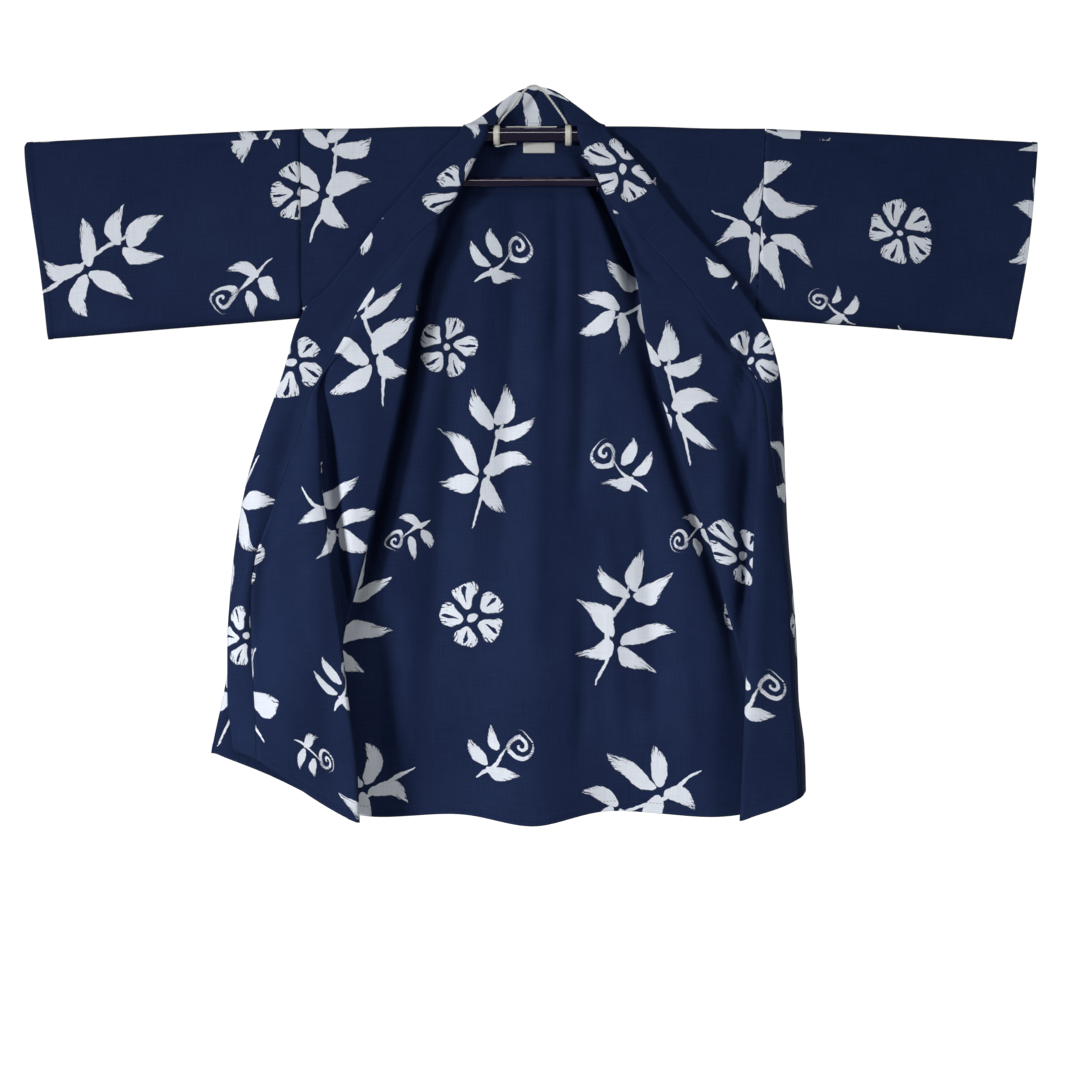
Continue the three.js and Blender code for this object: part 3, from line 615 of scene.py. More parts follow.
RIGHT_TURNED = [
    # the collar's lower edge and the valley beside it
    (-4, 6, [(70, 85), (84, 112), (102, 150), (119, 185), (138, 221), (154, 250)]),
    (2.5, 7, [(82, 96), (97, 126), (116, 163), (133, 196)]),
    (-5, 5, [(126, 220), (143, 238), (160, 250)]),
    # gathers below the armpit
    (-7, 7, [(286, 312), (274, 346), (268, 382), (264, 420), (252, 462)]),
    (4, 8, [(272, 312), (258, 346), (252, 385), (248, 416)]),
    (-4.5, 6, [(218, 294), (240, 324), (266, 360)]),
    (3, 6, [(212, 304), (232, 334), (252, 364)]),
    (-3.5, 5, [(226, 312), (244, 334), (262, 350)]),
    (-4, 6, [(290, 326), (285, 405)]),
    (-8, 12, [(250, 420), (266, 466), (262, 540), (262, 600)]),
    (-4.5, 5, [(247, 423), (258, 446), (268, 470)]),
    (4, 14, [(222, 436), (240, 488), (240, 560)]),
    (3, 18, [(196, 330), (214, 400), (226, 460)]),
    (-3, 10, [(186, 300), (204, 350), (214, 400)]),
    # the panel outside the pleat faces outward
    (5, 16, [(292, 470), (290, 560), (288, 660), (284, 760), (278, 860)]),
    (-4, 14, [(330, 500), (334, 640), (344, 800)]),
]
# Under a pleat's overhang the cloth sinks; only the lower layer does.
UNDER_PLEAT = {
    "left": [
        (-17, 11, [(-272, 386), (-266, 459), (-262, 510), (-257, 555), (-250, 601), (-244, 653), (-236, 723)]),
    ],
    "right": [(-17, 11, RIGHT_VALLEY)],
}
LEFT_REAR = [
    (-13, 16, [(-278, 360), (-272, 395), (-267, 459), (-263, 510), (-257, 555), (-250, 601), (-244, 653)]),
    (-6, 15, [(-345, 600), (-352, 720), (-350, 800)]),
]
RIGHT_REAR = [
    (-13, 16, RIGHT_VALLEY),
    # the dip beside the collar, and the soft folds that run down from the shoulder
    (-10, 8, [(122, 84), (138, 104), (158, 132), (170, 150)]),
    (6, 14, [(206, 190), (238, 230), (262, 262)]),
    (2.6, 9, [(148, 80), (160, 104), (180, 134)]),
    (-4, 7, [(150, 60), (153, 90), (157, 122)]),
]
LEFT_INNER_FOLD = [(-72, 100), (-101, 150), (-137, 240), (-149, 306), (-163, 395)]
LEFT_INNER_FOLD += [(-189, 510), (-210, 601), (-224, 653), (-240, 723)]
BACK_INSIDE = [
    # a narrow groove behind each inner fold, and the cloth beside it that comes forward again
    (-20, 7, LEFT_INNER_FOLD),
    (-20, 7, [(62, 90), (72, 110), (90, 150), (108, 193), (128, 240), (139, 290)]),
    (-9, 9, [(139, 290), (160, 395), (194, 510), (226, 601), (256, 700), (270, 800)]),
    (10, 34, [(-102, 240), (-118, 306), (-130, 395), (-152, 510), (-172, 601), (-196, 700)]),
    (8, 22, [(98, 240), (110, 306), (128, 395), (160, 510), (192, 601), (222, 700), (236, 800)]),
    # soft hanging folds
    (-9, 13, [(62, 140), (66, 300), (66, 420), (58, 560)]),
    (-5, 9, [(30, 130), (34, 240), (30, 360)]),
    (6, 15, [(92, 150), (100, 260), (104, 380)]),
    (5, 16, [(10, 170), (8, 320), (4, 560), (0, 760)]),
    (-5, 12, [(-22, 130), (-24, 300), (-34, 480), (-38, 640)]),
    (5, 18, [(-62, 150), (-66, 360), (-78, 560), (-86, 760)]),
    (-5, 13, [(-96, 300), (-106, 420), (-122, 600), (-128, 760)]),
    (-7, 14, [(140, 480), (148, 600), (160, 760), (166, 860)]),
    (5, 14, [(182, 600), (194, 720), (206, 880)]),
    (4, 14, [(-160, 640), (-160, 780), (-166, 900)]),
    (-5, 12, [(-198, 720), (-196, 800), (-198, 900)]),
    (-4, 10, [(62, 640), (66, 760), (60, 880)]),
    (4, 12, [(96, 560), (104, 700), (110, 860)]),
]

REAR_CREASES = {"left": LEFT_REAR, "right": RIGHT_REAR}
TURNED_CREASES = {"left": LEFT_TURNED, "right": RIGHT_TURNED}
CREASE_TIP, CREASE_END = 0.25, 0.25  # share of a crease's depth left at its ends, and of its length that fades


def crease_field(points, creases):
    """How far creases move each point of (..., 3) towards the viewer, in millimetres."""
    flat = np.stack([points[..., 0], -points[..., 2]], axis=-1)
    total = np.zeros(flat.shape[:-1])
    for depth, width, path in creases:
        path = np.array(path, float)
        lengths = np.linalg.norm(np.diff(path, axis=0), axis=1)
        whole, before = lengths.sum(), 0.0
        best = np.full(total.shape, np.inf)
        along = np.zeros(total.shape)
        for a, b, length in zip(path, path[1:], lengths):
            t = np.clip(((flat - a) @ (b - a)) / length**2, 0, 1)
            distance = np.linalg.norm(flat - (a + t[..., None] * (b - a)), axis=-1)
            nearer = distance < best
            best = np.where(nearer, distance, best)
            along = np.where(nearer, (before + t * length) / whole, along)
            before += length
        ends = np.clip(np.minimum(along, 1 - along) / CREASE_END, 0, 1)
        fade = CREASE_TIP + (1 - CREASE_TIP) * ends * ends * (3 - 2 * ends)
        total += depth * fade * np.exp(-((best / width) ** 2))
    return total


# ---------- the print: one repeat of the cloth ----------
REPEAT = (380, 640)  # width and length
LARGE, SMALL = 80, 43  # radius of a motif
SPRAY, BLOSSOM, SPRIG = 0, 1, 2
# u and v in the repeat, kind, radius, turn in degrees, mirrored
MOTIFS = [
    (96, 90, SPRAY, LARGE, 24, 1),
    (286, 306, SPRAY, LARGE, -58, -1),
    (112, 506, SPRAY, LARGE - 4, 160, 1),
    (272, 96, BLOSSOM, SMALL, 0, 1),
    (92, 292, SPRIG, SMALL + 4, 30, -1),
    (238, 442, BLOSSOM, SMALL - 4, 40, 1),
    (306, 560, SPRIG, SMALL + 5, -35, 1),
    (188, 198, SPRIG, 36, 140, 1),
]


def print_motifs(low, high, shift):
    """The motifs on a piece whose cloth reaches from low to high, in millimetres, cut `shift` into the repeat."""
    made = []
    first = np.floor((np.array(low) - shift) / REPEAT).astype(int) - 1
    last = np.ceil((np.array(high) - shift) / REPEAT).astype(int) + 1
    for i in range(first[0], last[0]):
        for j in range(first[1], last[1]):
            for k, (u, v, kind, radius, turn, flip) in enumerate(MOTIFS):
                place = (u + i * REPEAT[0] + shift[0], v + j * REPEAT[1] + shift[1])
                number = (k * 7 + i * 3 + j * 5) % 11  # sets its own waver
                made.append((*place, kind, radius, math.radians(turn), flip, number))
    return np.array(made)


# ---------- meshes ----------
def grid_normals(grid, ring=False):
    down = np.gradient(grid, axis=0)
    if ring:
        across = np.roll(grid, -1, 1) - np.roll(grid, 1, 1)
    else:
        across = np.gradient(grid, axis=1)
    normals = np.cross(across, down)
    return normals / np.maximum(np.linalg.norm(normals, axis=-1, keepdims=True), 1e-9)


def arc_lengths(grid):
    steps = np.linalg.norm(np.diff(grid, axis=1), axis=-1)
    return np.concatenate([np.zeros((len(grid), 1)), np.cumsum(steps, axis=1)], axis=1)


def lengths_along(path):
    return np.concatenate([[0], np.cumsum(np.linalg.norm(np.diff(path, axis=0), axis=1))])


def at_length(wanted, along, values):
    """values of (points, 3) at some lengths along a path."""
    return np.stack([np.interp(wanted, along, values[:, k]) for k in range(3)], axis=-1)


def enclosed_volume(mesh):
    """Six times the volume that the mesh's quads enclose, below zero where they face inward."""
    volume = 0
    for face in mesh.polygons:
        if len(face.vertices) == 4:
            a, b, c, d = (mesh.vertices[i].co for i in face.vertices)
            volume += a.dot(b.cross(c)) + a.dot(c.cross(d))
    return volume


def shown(name, points, faces, uv_layers=()):
    """A smooth object of points in metres, whose faces are turned outward."""
    mesh = bpy.data.meshes.new(name)
    mesh.from_pydata([tuple(p) for p in points], [], faces)
    for layer, uv in uv_layers:
        flat = np.ascontiguousarray(uv, dtype=np.float32).ravel()
        mesh.uv_layers.new(name=layer).data.foreach_set("uv", flat)
    mesh.shade_smooth()
    obj = placed(name, mesh)
    mesh.validate()
    if enclosed_volume(mesh) < 0:
        mesh.flip_normals()
    return obj


def wall_faces(rows, columns, ring):
    """The faces of a closed wall round a grid, and the grid's (row, column) at each of their corners."""
    faces, places = [], []

    def add(corners, flip=False):
        corners = corners[::-1] if flip else corners
        faces.append([(rear * rows + i) * columns + j % columns for (i, j), rear in corners])
        places.append([place for place, _ in corners])

    def rim(a, b, flip):
        add([(a, 0), (a, 1), (b, 1), (b, 0)], flip)

    spans = columns if ring else columns - 1
    for i in range(rows - 1):
        for j in range(spans):
            a, b, c, d = (i, j), (i, j + 1), (i + 1, j + 1), (i + 1, j)
            add([(place, 0) for place in (a, b, c, d)])
            add([(place, 1) for place in (a, d, c, b)])
    for i in (0, rows - 1):
        for j in range(spans):
            rim((i, j), (i, j + 1), flip=i > 0)
    if not ring:
        for j in (0, columns - 1):
            for i in range(rows - 1):
                rim((i, j), (i + 1, j), flip=j == 0)
    return faces, np.array(places)


def print_uv(uv, shift):
    """Each face's corners in the square of its nearest motif, and that motif's kind and number."""
    centres = uv.mean(axis=1)
    motifs = print_motifs(centres.min(axis=0), centres.max(axis=0), np.array(shift, float))
    apart = np.linalg.norm(centres[:, None] - motifs[None, :, :2], axis=-1) / motifs[None, :, 3]
    u, v, kind, radius, turn, flip, number = motifs[apart.argmin(axis=1)].T[..., None]
    x, y = (uv[..., 0] - u) / radius, (uv[..., 1] - v) / radius
    local = [(x * np.cos(turn) + y * np.sin(turn)) * flip, y * np.cos(turn) - x * np.sin(turn)]
    facts = np.stack([kind, number], axis=-1)
    return np.stack(local, axis=-1), np.repeat(facts, 4, axis=1)


def cloth_mesh(name, grid, thickness, cloth_uv, shift, ring=False):
    """A closed wall round a grid, in millimetres, with the cloth's own coordinates and the print's.

    cloth_uv is (rows, columns, 2), or with one more column where the grid is a ring."""
    rows, columns = grid.shape[:2]
    half = np.broadcast_to(np.asarray(thickness, float), (rows, columns))[..., None] / 2
    outward = grid_normals(grid, ring) * half
    points = np.concatenate([(grid + outward).reshape(-1, 3), (grid - outward).reshape(-1, 3)]) * MM
    faces, places = wall_faces(rows, columns, ring)
    uv = cloth_uv[places[..., 0], places[..., 1]]
    local, facts = print_uv(uv, shift)
    return shown(name, points, faces, [("cloth", uv * MM), ("print", local), ("motif", facts)])


def hem_thickness(grid):
    """Thicker where the cloth is turned up, with a groove along the stitches."""
    made = np.full(grid.shape[:2], PLAIN)
    for row, distance in enumerate(HEM_ROWS, start=len(grid) - len(HEM_ROWS)):
        groove = abs(distance - HEM_STITCH) < GROOVE_HALF
        made[row] = PLAIN * GROOVE if groove else HEMMED if distance < HEM_STITCH else PLAIN
    return made


def tube_faces(start, rings, sides):
    """The faces of a closed tube, whose rings of points begin at start."""
    faces = []
    for i in range(rings - 1):
        for j in range(sides):
            a, b = start + i * sides + j, start + i * sides + (j + 1) % sides
            faces.append((a, b, b + sides, a + sides))
    ends = [tuple(start + i * sides + j for j in range(sides)) for i in (0, rings - 1)]
    return faces + [ends[0][::-1], ends[1]]


def ring_points(middle, side, other, radius, sides):
    turns = (math.tau * j / sides for j in range(sides))
    return [middle + (side * math.cos(a) + other * math.sin(a)) * radius for a in turns]


# ---------- materials ----------
class Nodes:
    """A material's node tree, with a call for each kind of node used here."""

    MIXES = {"RGBA": (6, 2), "VECTOR": (4, 1), "FLOAT": (2, 0)}  # the first mixed input, and the output

    def __init__(self, name):
        self.material = bpy.data.materials.new(name)
        self.material.use_nodes = True
        self.tree = self.material.node_tree
        self.shader = self.tree.nodes["Principled BSDF"]

    def new(self, kind, **values):
        node = self.tree.nodes.new(kind)
        for key, value in values.items():
            setattr(node, key, value)
        return node

    def put(self, socket, value):
        if isinstance(value, bpy.types.NodeSocket):
            self.tree.links.new(value, socket)
        else:
            socket.default_value = value

    def node(self, kind, inputs, output=0, **values):
        """A node's output, with values or other nodes' outputs put into its inputs."""
        made = self.new(kind, **values)
        for socket, value in inputs.items():
            self.put(made.inputs[socket], value)
        return made.outputs[output]

    def surface(self, **inputs):
        """Puts the shader's inputs, each named with _ for a space."""
        for name, value in inputs.items():
            self.put(self.shader.inputs[name.replace("_", " ")], value)

    def math(self, operation, *terms, limit=False):
        return self.node("ShaderNodeMath", dict(enumerate(terms)), operation=operation, use_clamp=limit)

    def vector(self, operation, a, b):
        second = 3 if operation == "SCALE" else 1
        return self.node("ShaderNodeVectorMath", {0: a, second: b}, operation=operation)

    def uv(self, name):
        return self.new("ShaderNodeUVMap", uv_map=name).outputs[0]

    def place(self):
        return self.new("ShaderNodeTexCoord").outputs["Object"]

    def mapping(self, vector, location=(0, 0, 0), rotation=0.0, scale=(1, 1, 1), kind="POINT"):
        inputs = {"Vector": vector, "Location": location, "Rotation": (0, 0, rotation), "Scale": scale}
        return self.node("ShaderNodeMapping", inputs, vector_type=kind)

    def split(self, vector):
        node = self.new("ShaderNodeSeparateXYZ")
        self.put(node.inputs[0], vector)
        return node.outputs

    def noise(self, vector, scale, detail=2.0, roughness=0.5, colour=False):
        inputs = {"Vector": vector, "Scale": scale, "Detail": detail, "Roughness": roughness}
        return self.node("ShaderNodeTexNoise", inputs, "Color" if colour else "Fac")

    def ramp(self, value, low, high, to_low=0.0, to_high=1.0, smooth_step=False):
        inputs = {"Value": value, "From Min": low, "From Max": high, "To Min": to_low, "To Max": to_high}
        steps = "SMOOTHSTEP" if smooth_step else "LINEAR"
        return self.node("ShaderNodeMapRange", inputs, "Result", interpolation_type=steps)

    def mix(self, share, a, b, kind="RGBA"):
        first, output = self.MIXES[kind]
        return self.node("ShaderNodeMix", {0: share, first: a, first + 1: b}, output, data_type=kind)

    def length(self, x, y):
        return self.math("SQRT", self.math("MULTIPLY_ADD", x, x, self.math("MULTIPLY", y, y)))

    def bump(self, height, strength, distance):
        inputs = {"Height": height, "Strength": strength, "Distance": distance}
        self.surface(Normal=self.node("ShaderNodeBump", inputs))


# A brush stroke is (x, y, turn in degrees, length, half width, bend), from where the brush lands. bend is how far its
# middle bows to one side, in half widths.
SPRAY_STROKES = [
    (-0.86, -0.78, 46, 2.20, 0.040, 3.0),
    (-0.20, -0.26, -14, 0.98, 0.150, 0.7),
    (-0.28, -0.30, -62, 0.72, 0.165, -0.5),
    (-0.32, -0.18, 176, 0.68, 0.150, 0.6),
    (-0.22, -0.12, 118, 0.86, 0.155, -0.5),
    (0.22, 0.28, 6, 0.80, 0.145, -0.6),
    (0.14, 0.32, 100, 0.72, 0.140, 0.6),
    (0.30, 0.36, 52, 0.74, 0.150, 0.5),
]
SPRIG_STROKES = [
    (-0.16, -0.96, 78, 1.45, 0.060, -2.0),
    (-0.08, -0.42, 158, 0.86, 0.190, 0.6),
    (-0.04, -0.50, 22, 0.90, 0.190, -0.6),
    (-0.02, 0.06, 140, 0.72, 0.170, 0.5),
]
# A stroke's half width along its length, as a share of its own: it lands full and trails off to a point.
BRUSH = [(0, -0.1), (0.02, 0.34), (0.12, 0.66), (0.32, 1.0), (0.60, 0.82), (0.82, 0.42), (0.94, 0.16), (1, -0.1)]
PETAL = [(0, -0.1), (0.04, 0.2), (0.35, 0.62), (0.68, 1.0), (0.88, 0.86), (0.97, 0.4), (1, -0.1)]


def profile_curve(nodes, along, profile):
    shape = nodes.new("ShaderNodeFloatCurve")
    shape.mapping.use_clip = False
    points = shape.mapping.curves[0].points
    points[0].location, points[1].location = profile[0], profile[-1]
    for place in profile[1:-1]:
        points.new(*place)
    shape.mapping.update()
    nodes.put(shape.inputs["Value"], nodes.math("MULTIPLY", along, 1.0, limit=True))
    return shape.outputs[0]


def stroke(nodes, place, x, y, degrees, length, half_width, bend=0.0, profile=BRUSH):
    """(share, own): share is above zero inside a stroke, as a share of its half width, and own its own coordinates."""
    own = nodes.mapping(place, (x, y, 0), math.radians(degrees), (length, half_width, 1), "TEXTURE")
    along, across, _ = nodes.split(own)
    if bend:
        bow = nodes.math("MULTIPLY", along, nodes.math("SUBTRACT", 1.0, along))
        across = nodes.math("MULTIPLY_ADD", bow, -4 * bend, across)
    share = nodes.math("SUBTRACT", profile_curve(nodes, along, profile), nodes.math("ABSOLUTE", across))
    return share, own


def brushed(nodes, place, rows):
    """The strokes of rows together: the largest share, and the coordinates of the stroke that has it."""
    best, own = stroke(nodes, place, *rows[0])
    for row in rows[1:]:
        share, other = stroke(nodes, place, *row)
        nearer = nodes.math("GREATER_THAN", share, best)
        own = nodes.mix(nearer, own, other, "VECTOR")
        best = nodes.math("MAXIMUM", best, share)
    return best, own


CURL_SWELL = (0.6, 1.25)  # its half width in its middle and at its end


def curl(nodes, x, y, middle, turns, spacing, half_width):
    """A spiral stroke round a point, above zero inside it."""
    dx = nodes.math("SUBTRACT", x, middle[0])
    dy = nodes.math("SUBTRACT", y, middle[1])
    radius = nodes.length(dx, dy)
    around = nodes.math("DIVIDE", nodes.math("ARCTAN2", dy, dx), math.tau)
    arm = nodes.math("SUBTRACT", nodes.math("DIVIDE", radius, spacing), around)
    apart = nodes.math("ABSOLUTE", nodes.math("SUBTRACT", nodes.math("FRACT", arm), 0.5))
    thin, full = (half_width * share for share in CURL_SWELL)
    width = nodes.ramp(radius, 0.0, turns * spacing, thin, full)
    ring = nodes.math("SUBTRACT", width, nodes.math("MULTIPLY", apart, spacing))
    outer = nodes.math("SUBTRACT", turns * spacing, radius)
    return nodes.math("MULTIPLY", nodes.math("MINIMUM", ring, outer), 8.0)


def blossom(nodes, place, x, y):
    """Five brushed petals round a heart, from one petal that is turned."""
    radius = nodes.length(x, y)
    fifth = math.tau / 5
    angle = nodes.math("ADD", nodes.math("ARCTAN2", y, x), math.tau)
    turn = nodes.math("SUBTRACT", nodes.math("MODULO", angle, fifth), fifth / 2)
    ahead, aside = (nodes.math("MULTIPLY", radius, nodes.math(wave, turn)) for wave in ("COSINE", "SINE"))
    folded = nodes.node("ShaderNodeCombineXYZ", {0: ahead, 1: aside})
    petal, own = stroke(nodes, folded, 0.24, 0, 0, 0.74, 0.40, profile=PETAL)
    vein, _ = stroke(nodes, folded, 0.42, 0, 0, 0.50, 0.05, profile=PETAL)
    heart = nodes.math("MULTIPLY", nodes.math("SUBTRACT", 0.12, radius), 4.0)
    petal = nodes.math("MINIMUM", petal, nodes.math("MULTIPLY", vein, -1.0))
    return nodes.math("MAXIMUM", petal, heart), own


def print_mask(nodes):
    """1 on the print and 0 beside it: brushed sprays, blossoms and small sprigs with a curl."""
    local, facts = nodes.uv("print"), nodes.uv("motif")
    kind, _, _ = nodes.split(facts)
    # Each motif wavers in its own way.
    apart = nodes.vector("ADD", local, nodes.vector("SCALE", facts, 7.3))
    waver = nodes.vector("SUBTRACT", nodes.noise(apart, 1.6, 0.0, colour=True), (0.5, 0.5, 0.5))
    ragged = nodes.vector("SUBTRACT", nodes.noise(apart, 10.0, 2.0, 0.6, colour=True), (0.5, 0.5, 0.5))
    shifts = nodes.vector("ADD", nodes.vector("SCALE", waver, 0.30), nodes.vector("SCALE", ragged, 0.050))
    place = nodes.vector("ADD", local, shifts)
    x, y, _ = nodes.split(place)
    spray, own = brushed(nodes, place, SPRAY_STROKES)
    sprig, sprig_own = brushed(nodes, place, SPRIG_STROKES)
    sprig = nodes.math("MAXIMUM", sprig, curl(nodes, x, y, (0.36, 0.50), 1.6, 0.24, 0.060))
    flower, flower_own = blossom(nodes, place, x, y)
    is_flower = nodes.math("GREATER_THAN", kind, 0.5)
    is_sprig = nodes.math("GREATER_THAN", kind, 1.5)
    share = nodes.mix(is_sprig, nodes.mix(is_flower, spray, flower, "FLOAT"), sprig, "FLOAT")
    own = nodes.mix(is_sprig, nodes.mix(is_flower, own, flower_own, "VECTOR"), sprig_own, "VECTOR")
    # Towards a stroke's end the brush runs dry, and streaks of bare cloth show along it.
    along, _, _ = nodes.split(own)
    streaks = nodes.noise(nodes.vector("ADD", nodes.mapping(own, scale=(1.6, 5.0, 1.0)), facts), 1.6, 2.0, 0.7)
    dry = nodes.math("MULTIPLY", nodes.ramp(streaks, 0.50, 0.66), nodes.ramp(along, 0.40, 1.0, 0.0, 1.1))
    return nodes.ramp(nodes.math("SUBTRACT", share, dry), 0.0, 0.08, smooth_step=True)


NAVY = (0.0085, 0.0165, 0.0560, 1)
NAVY_WORN = (0.0145, 0.0265, 0.0780, 1)
PRINT_WHITE = (0.80, 0.84, 0.91, 1)
PRINT_SHADE = (0.70, 0.75, 0.84, 1)
THREAD_PITCH = 0.9  # millimetres between two threads of the weave
SLUB = (0.7, 1.3)  # from a thin place in the threads to a thick one
EVEN = (0.3, 0.7)  # most of a noise's values lie between these


def cotton(name):
    """Yarn-dyed plain-weave cotton: slubby threads both ways, a white dyed-through print and a soft dull sheen."""
    nodes = Nodes(name)
    place = nodes.uv("cloth")
    warp = nodes.noise(nodes.mapping(place, scale=(900, 28, 1)), 1.0, 1.0)
    weft = nodes.noise(nodes.mapping(place, scale=(30, 900, 1)), 1.0, 1.0)
    slub = nodes.math("ADD", warp, weft)
    threads = nodes.ramp(slub, *SLUB, -0.32, 0.32)
    wear = nodes.ramp(nodes.noise(place, 9.0, 3.0, 0.55), *EVEN, 0.25, 0.75)
    navy = nodes.mix(nodes.math("ADD", threads, wear, limit=True), NAVY, NAVY_WORN)
    white = nodes.mix(nodes.ramp(slub, *SLUB), PRINT_SHADE, PRINT_WHITE)
    nodes.surface(
        Base_Color=nodes.mix(print_mask(nodes), navy, white),
        Roughness=nodes.ramp(slub, *SLUB, 0.93, 0.80),
        Specular_IOR_Level=0.07,
        Sheen_Weight=0.03,
        Sheen_Roughness=0.5,
        Sheen_Tint=(0.55, 0.62, 0.85, 1),
    )
    period = math.pi / (THREAD_PITCH * MM)
    waves = [nodes.math("SINE", nodes.math("MULTIPLY", along, period)) for along in nodes.split(place)[:2]]
    nodes.bump(nodes.math("MULTIPLY_ADD", nodes.math("MULTIPLY", *waves), 0.35, slub), 0.35, 0.00025)
    return nodes.material


def plain(nodes, pattern, colours, roughness, bump, gloss=None, relief=None, **shader):
    """A material whose colour follows a pattern, and whose roughness and relief follow it too or have their own."""
    rough = nodes.ramp(pattern if gloss is None else gloss, *EVEN, *roughness)
    nodes.surface(Base_Color=nodes.mix(pattern, *colours), Roughness=rough, **shader)
    nodes.bump(pattern if relief is None else relief, *bump)
    return nodes.material


def lacquer():
    nodes = Nodes("lacquer")
    grain = nodes.noise(nodes.mapping(nodes.place(), scale=(6, 120, 120)), 1.0, 3.0)
    colours = (0.006, 0.003, 0.020, 1), (0.014, 0.007, 0.036, 1)
    coat = {"Coat_Weight": 1.0, "Coat_IOR": 1.7, "Coat_Roughness": 0.05}
    return plain(nodes, grain, colours, (0.10, 0.16), (0.03, 0.0001), gloss=nodes.noise(nodes.place(), 260.0), **coat)


def ivory():
    nodes = Nodes("ivory_plastic")
    cloud, pores = nodes.noise(nodes.place(), 90.0, 3.0), nodes.noise(nodes.place(), 900.0)
    colours = (0.72, 0.69, 0.60, 1), (0.84, 0.82, 0.75, 1)
    waxy = {"Subsurface_Weight": 0.08, "Subsurface_Radius": (0.004, 0.003, 0.002)}
    return plain(nodes, cloud, colours, (0.32, 0.46), (0.1, 0.0001), relief=pores, **waxy)


def white_fibre(name, scale):
    nodes = Nodes(name)
    fibre = nodes.noise(nodes.place(), scale, 3.0, 0.6)
    colours = (0.62, 0.62, 0.60, 1), (0.86, 0.86, 0.84, 1)
    return plain(nodes, fibre, colours, (0.65, 0.85), (0.4, 0.0002), Sheen_Weight=0.2)


def navy_thread():
    nodes = Nodes("navy_thread")
    twist = nodes.noise(nodes.place(), 2500.0, 1.0)
    colours = (0.004, 0.008, 0.028, 1), (0.011, 0.018, 0.052, 1)
    return plain(nodes, twist, colours, (0.55, 0.75), (0.3, 0.0001))


# ---------- the camera, on the photograph's line of sight ----------
PHOTO_SIZE = 1080
MM_PER_PIXEL = 1.285
FRAME_WIDTH = PHOTO_SIZE * MM_PER_PIXEL * MM
FRAME_CENTRE = (0.0096, -0.586)  # x and z
CAMERA_DISTANCE = 4.2
SENSOR = 36

camera = placed("camera", bpy.data.cameras.new("camera"))
bpy.context.scene.camera = camera
camera.location = (FRAME_CENTRE[0], -CAMERA_DISTANCE, FRAME_CENTRE[1])
camera.rotation_euler = (math.pi / 2, 0, 0)
camera.data.sensor_width = SENSOR
camera.data.lens = SENSOR * CAMERA_DISTANCE / FRAME_WIDTH


# ---------- the hanger ----------
SHARP_EDGE = math.cos(math.radians(35))
LACQUERED = ("tube", "lower_bar", "arm_left", "arm_right", "post_left", "post_right")
RINGS = ("ring_left", "ring_right")


def shade_round(mesh):
    """Shades a turned solid as round, except across its sharp edges. No corner moves."""
    corners = [(face, mesh.vertices[i].co.to_tuple(6)) for face in mesh.polygons for i in face.vertices]
    meeting = {}
    for face, place in corners:
        meeting.setdefault(place, []).append(face)
    normals = []
    for face, place in corners:
        near = [o.normal * o.area for o in meeting[place] if o.normal.dot(face.normal) > SHARP_EDGE]
        normals.append(sum(near, Vector()).normalized())
    mesh.shade_smooth()
    mesh.normals_split_custom_set(normals)


for names, material in ((LACQUERED, lacquer()), (RINGS, ivory())):
    for name in names:
        solid = bpy.data.objects["hanger_" + name]
        solid.material_slots[0].material = material
        shade_round(solid.data)

CORD_PITCH, WIRE_PITCH = 8, 4  # a strand's length of one turn
CORD_STEPS = 14  # rings of points in each turn
STRANDS, STRAND_SIDES = 2, 8
STRAND_OVERLAP = 1.12  # the strands press into each other
CORD_LOOP = [(-38, 44), (-28, 32), (-17, 17), (-7, 4), (0, CORD_RADIUS), (8, 3), (16, 11), (26, 24), (35, 37), (41, 45)]


def cord_route():
    """From ring to ring over the top."""
    end, ring_top = RING_OUT - 2, ROD_DOWN - RING_RADIUS - CORD_RADIUS * 0.4
    places = [(-end, ring_top), *CORD_LOOP, (end, ring_top)]
    return bspline(np.array([(x, -1, -down) for x, down in places]), 8) * MM


def twisted_cord(name, route, radius, pitch):
    """A cord of round strands that wind about each other, as one mesh."""
    along = lengths_along(route)
    at = np.linspace(0, along[-1], int(along[-1] / (pitch / CORD_STEPS)))
    path = at_length(at, along, route)
    tangent = np.gradient(path, axis=0)
    tangent /= np.linalg.norm(tangent, axis=1, keepdims=True)
    side = np.cross(tangent, (0, 1, 0))
    side /= np.linalg.norm(side, axis=1, keepdims=True)
    other = np.cross(tangent, side)
    thin = radius / 2
    points, faces = [], []
    for k in range(STRANDS):
        faces += tube_faces(len(points), len(path), STRAND_SIDES)
        for i, place in enumerate(path):
            phase = math.tau * (at[i] / pitch + k / STRANDS)
            middle = place + (side[i] * math.cos(phase) + other[i] * math.sin(phase)) * thin
            points += ring_points(middle, side[i], other[i], thin * STRAND_OVERLAP, STRAND_SIDES)
    obj = shown(name, points, faces)
    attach(obj, "root")
    return obj


CORD_WHITE = white_fibre("cord_white", 1800.0)
route = cord_route()
cord = twisted_cord("cord_twisted", route, CORD_RADIUS * MM, CORD_PITCH * MM)
cord.data.materials.append(CORD_WHITE)
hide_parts("hanger_cord")
float(lengths_along(route)[-1])

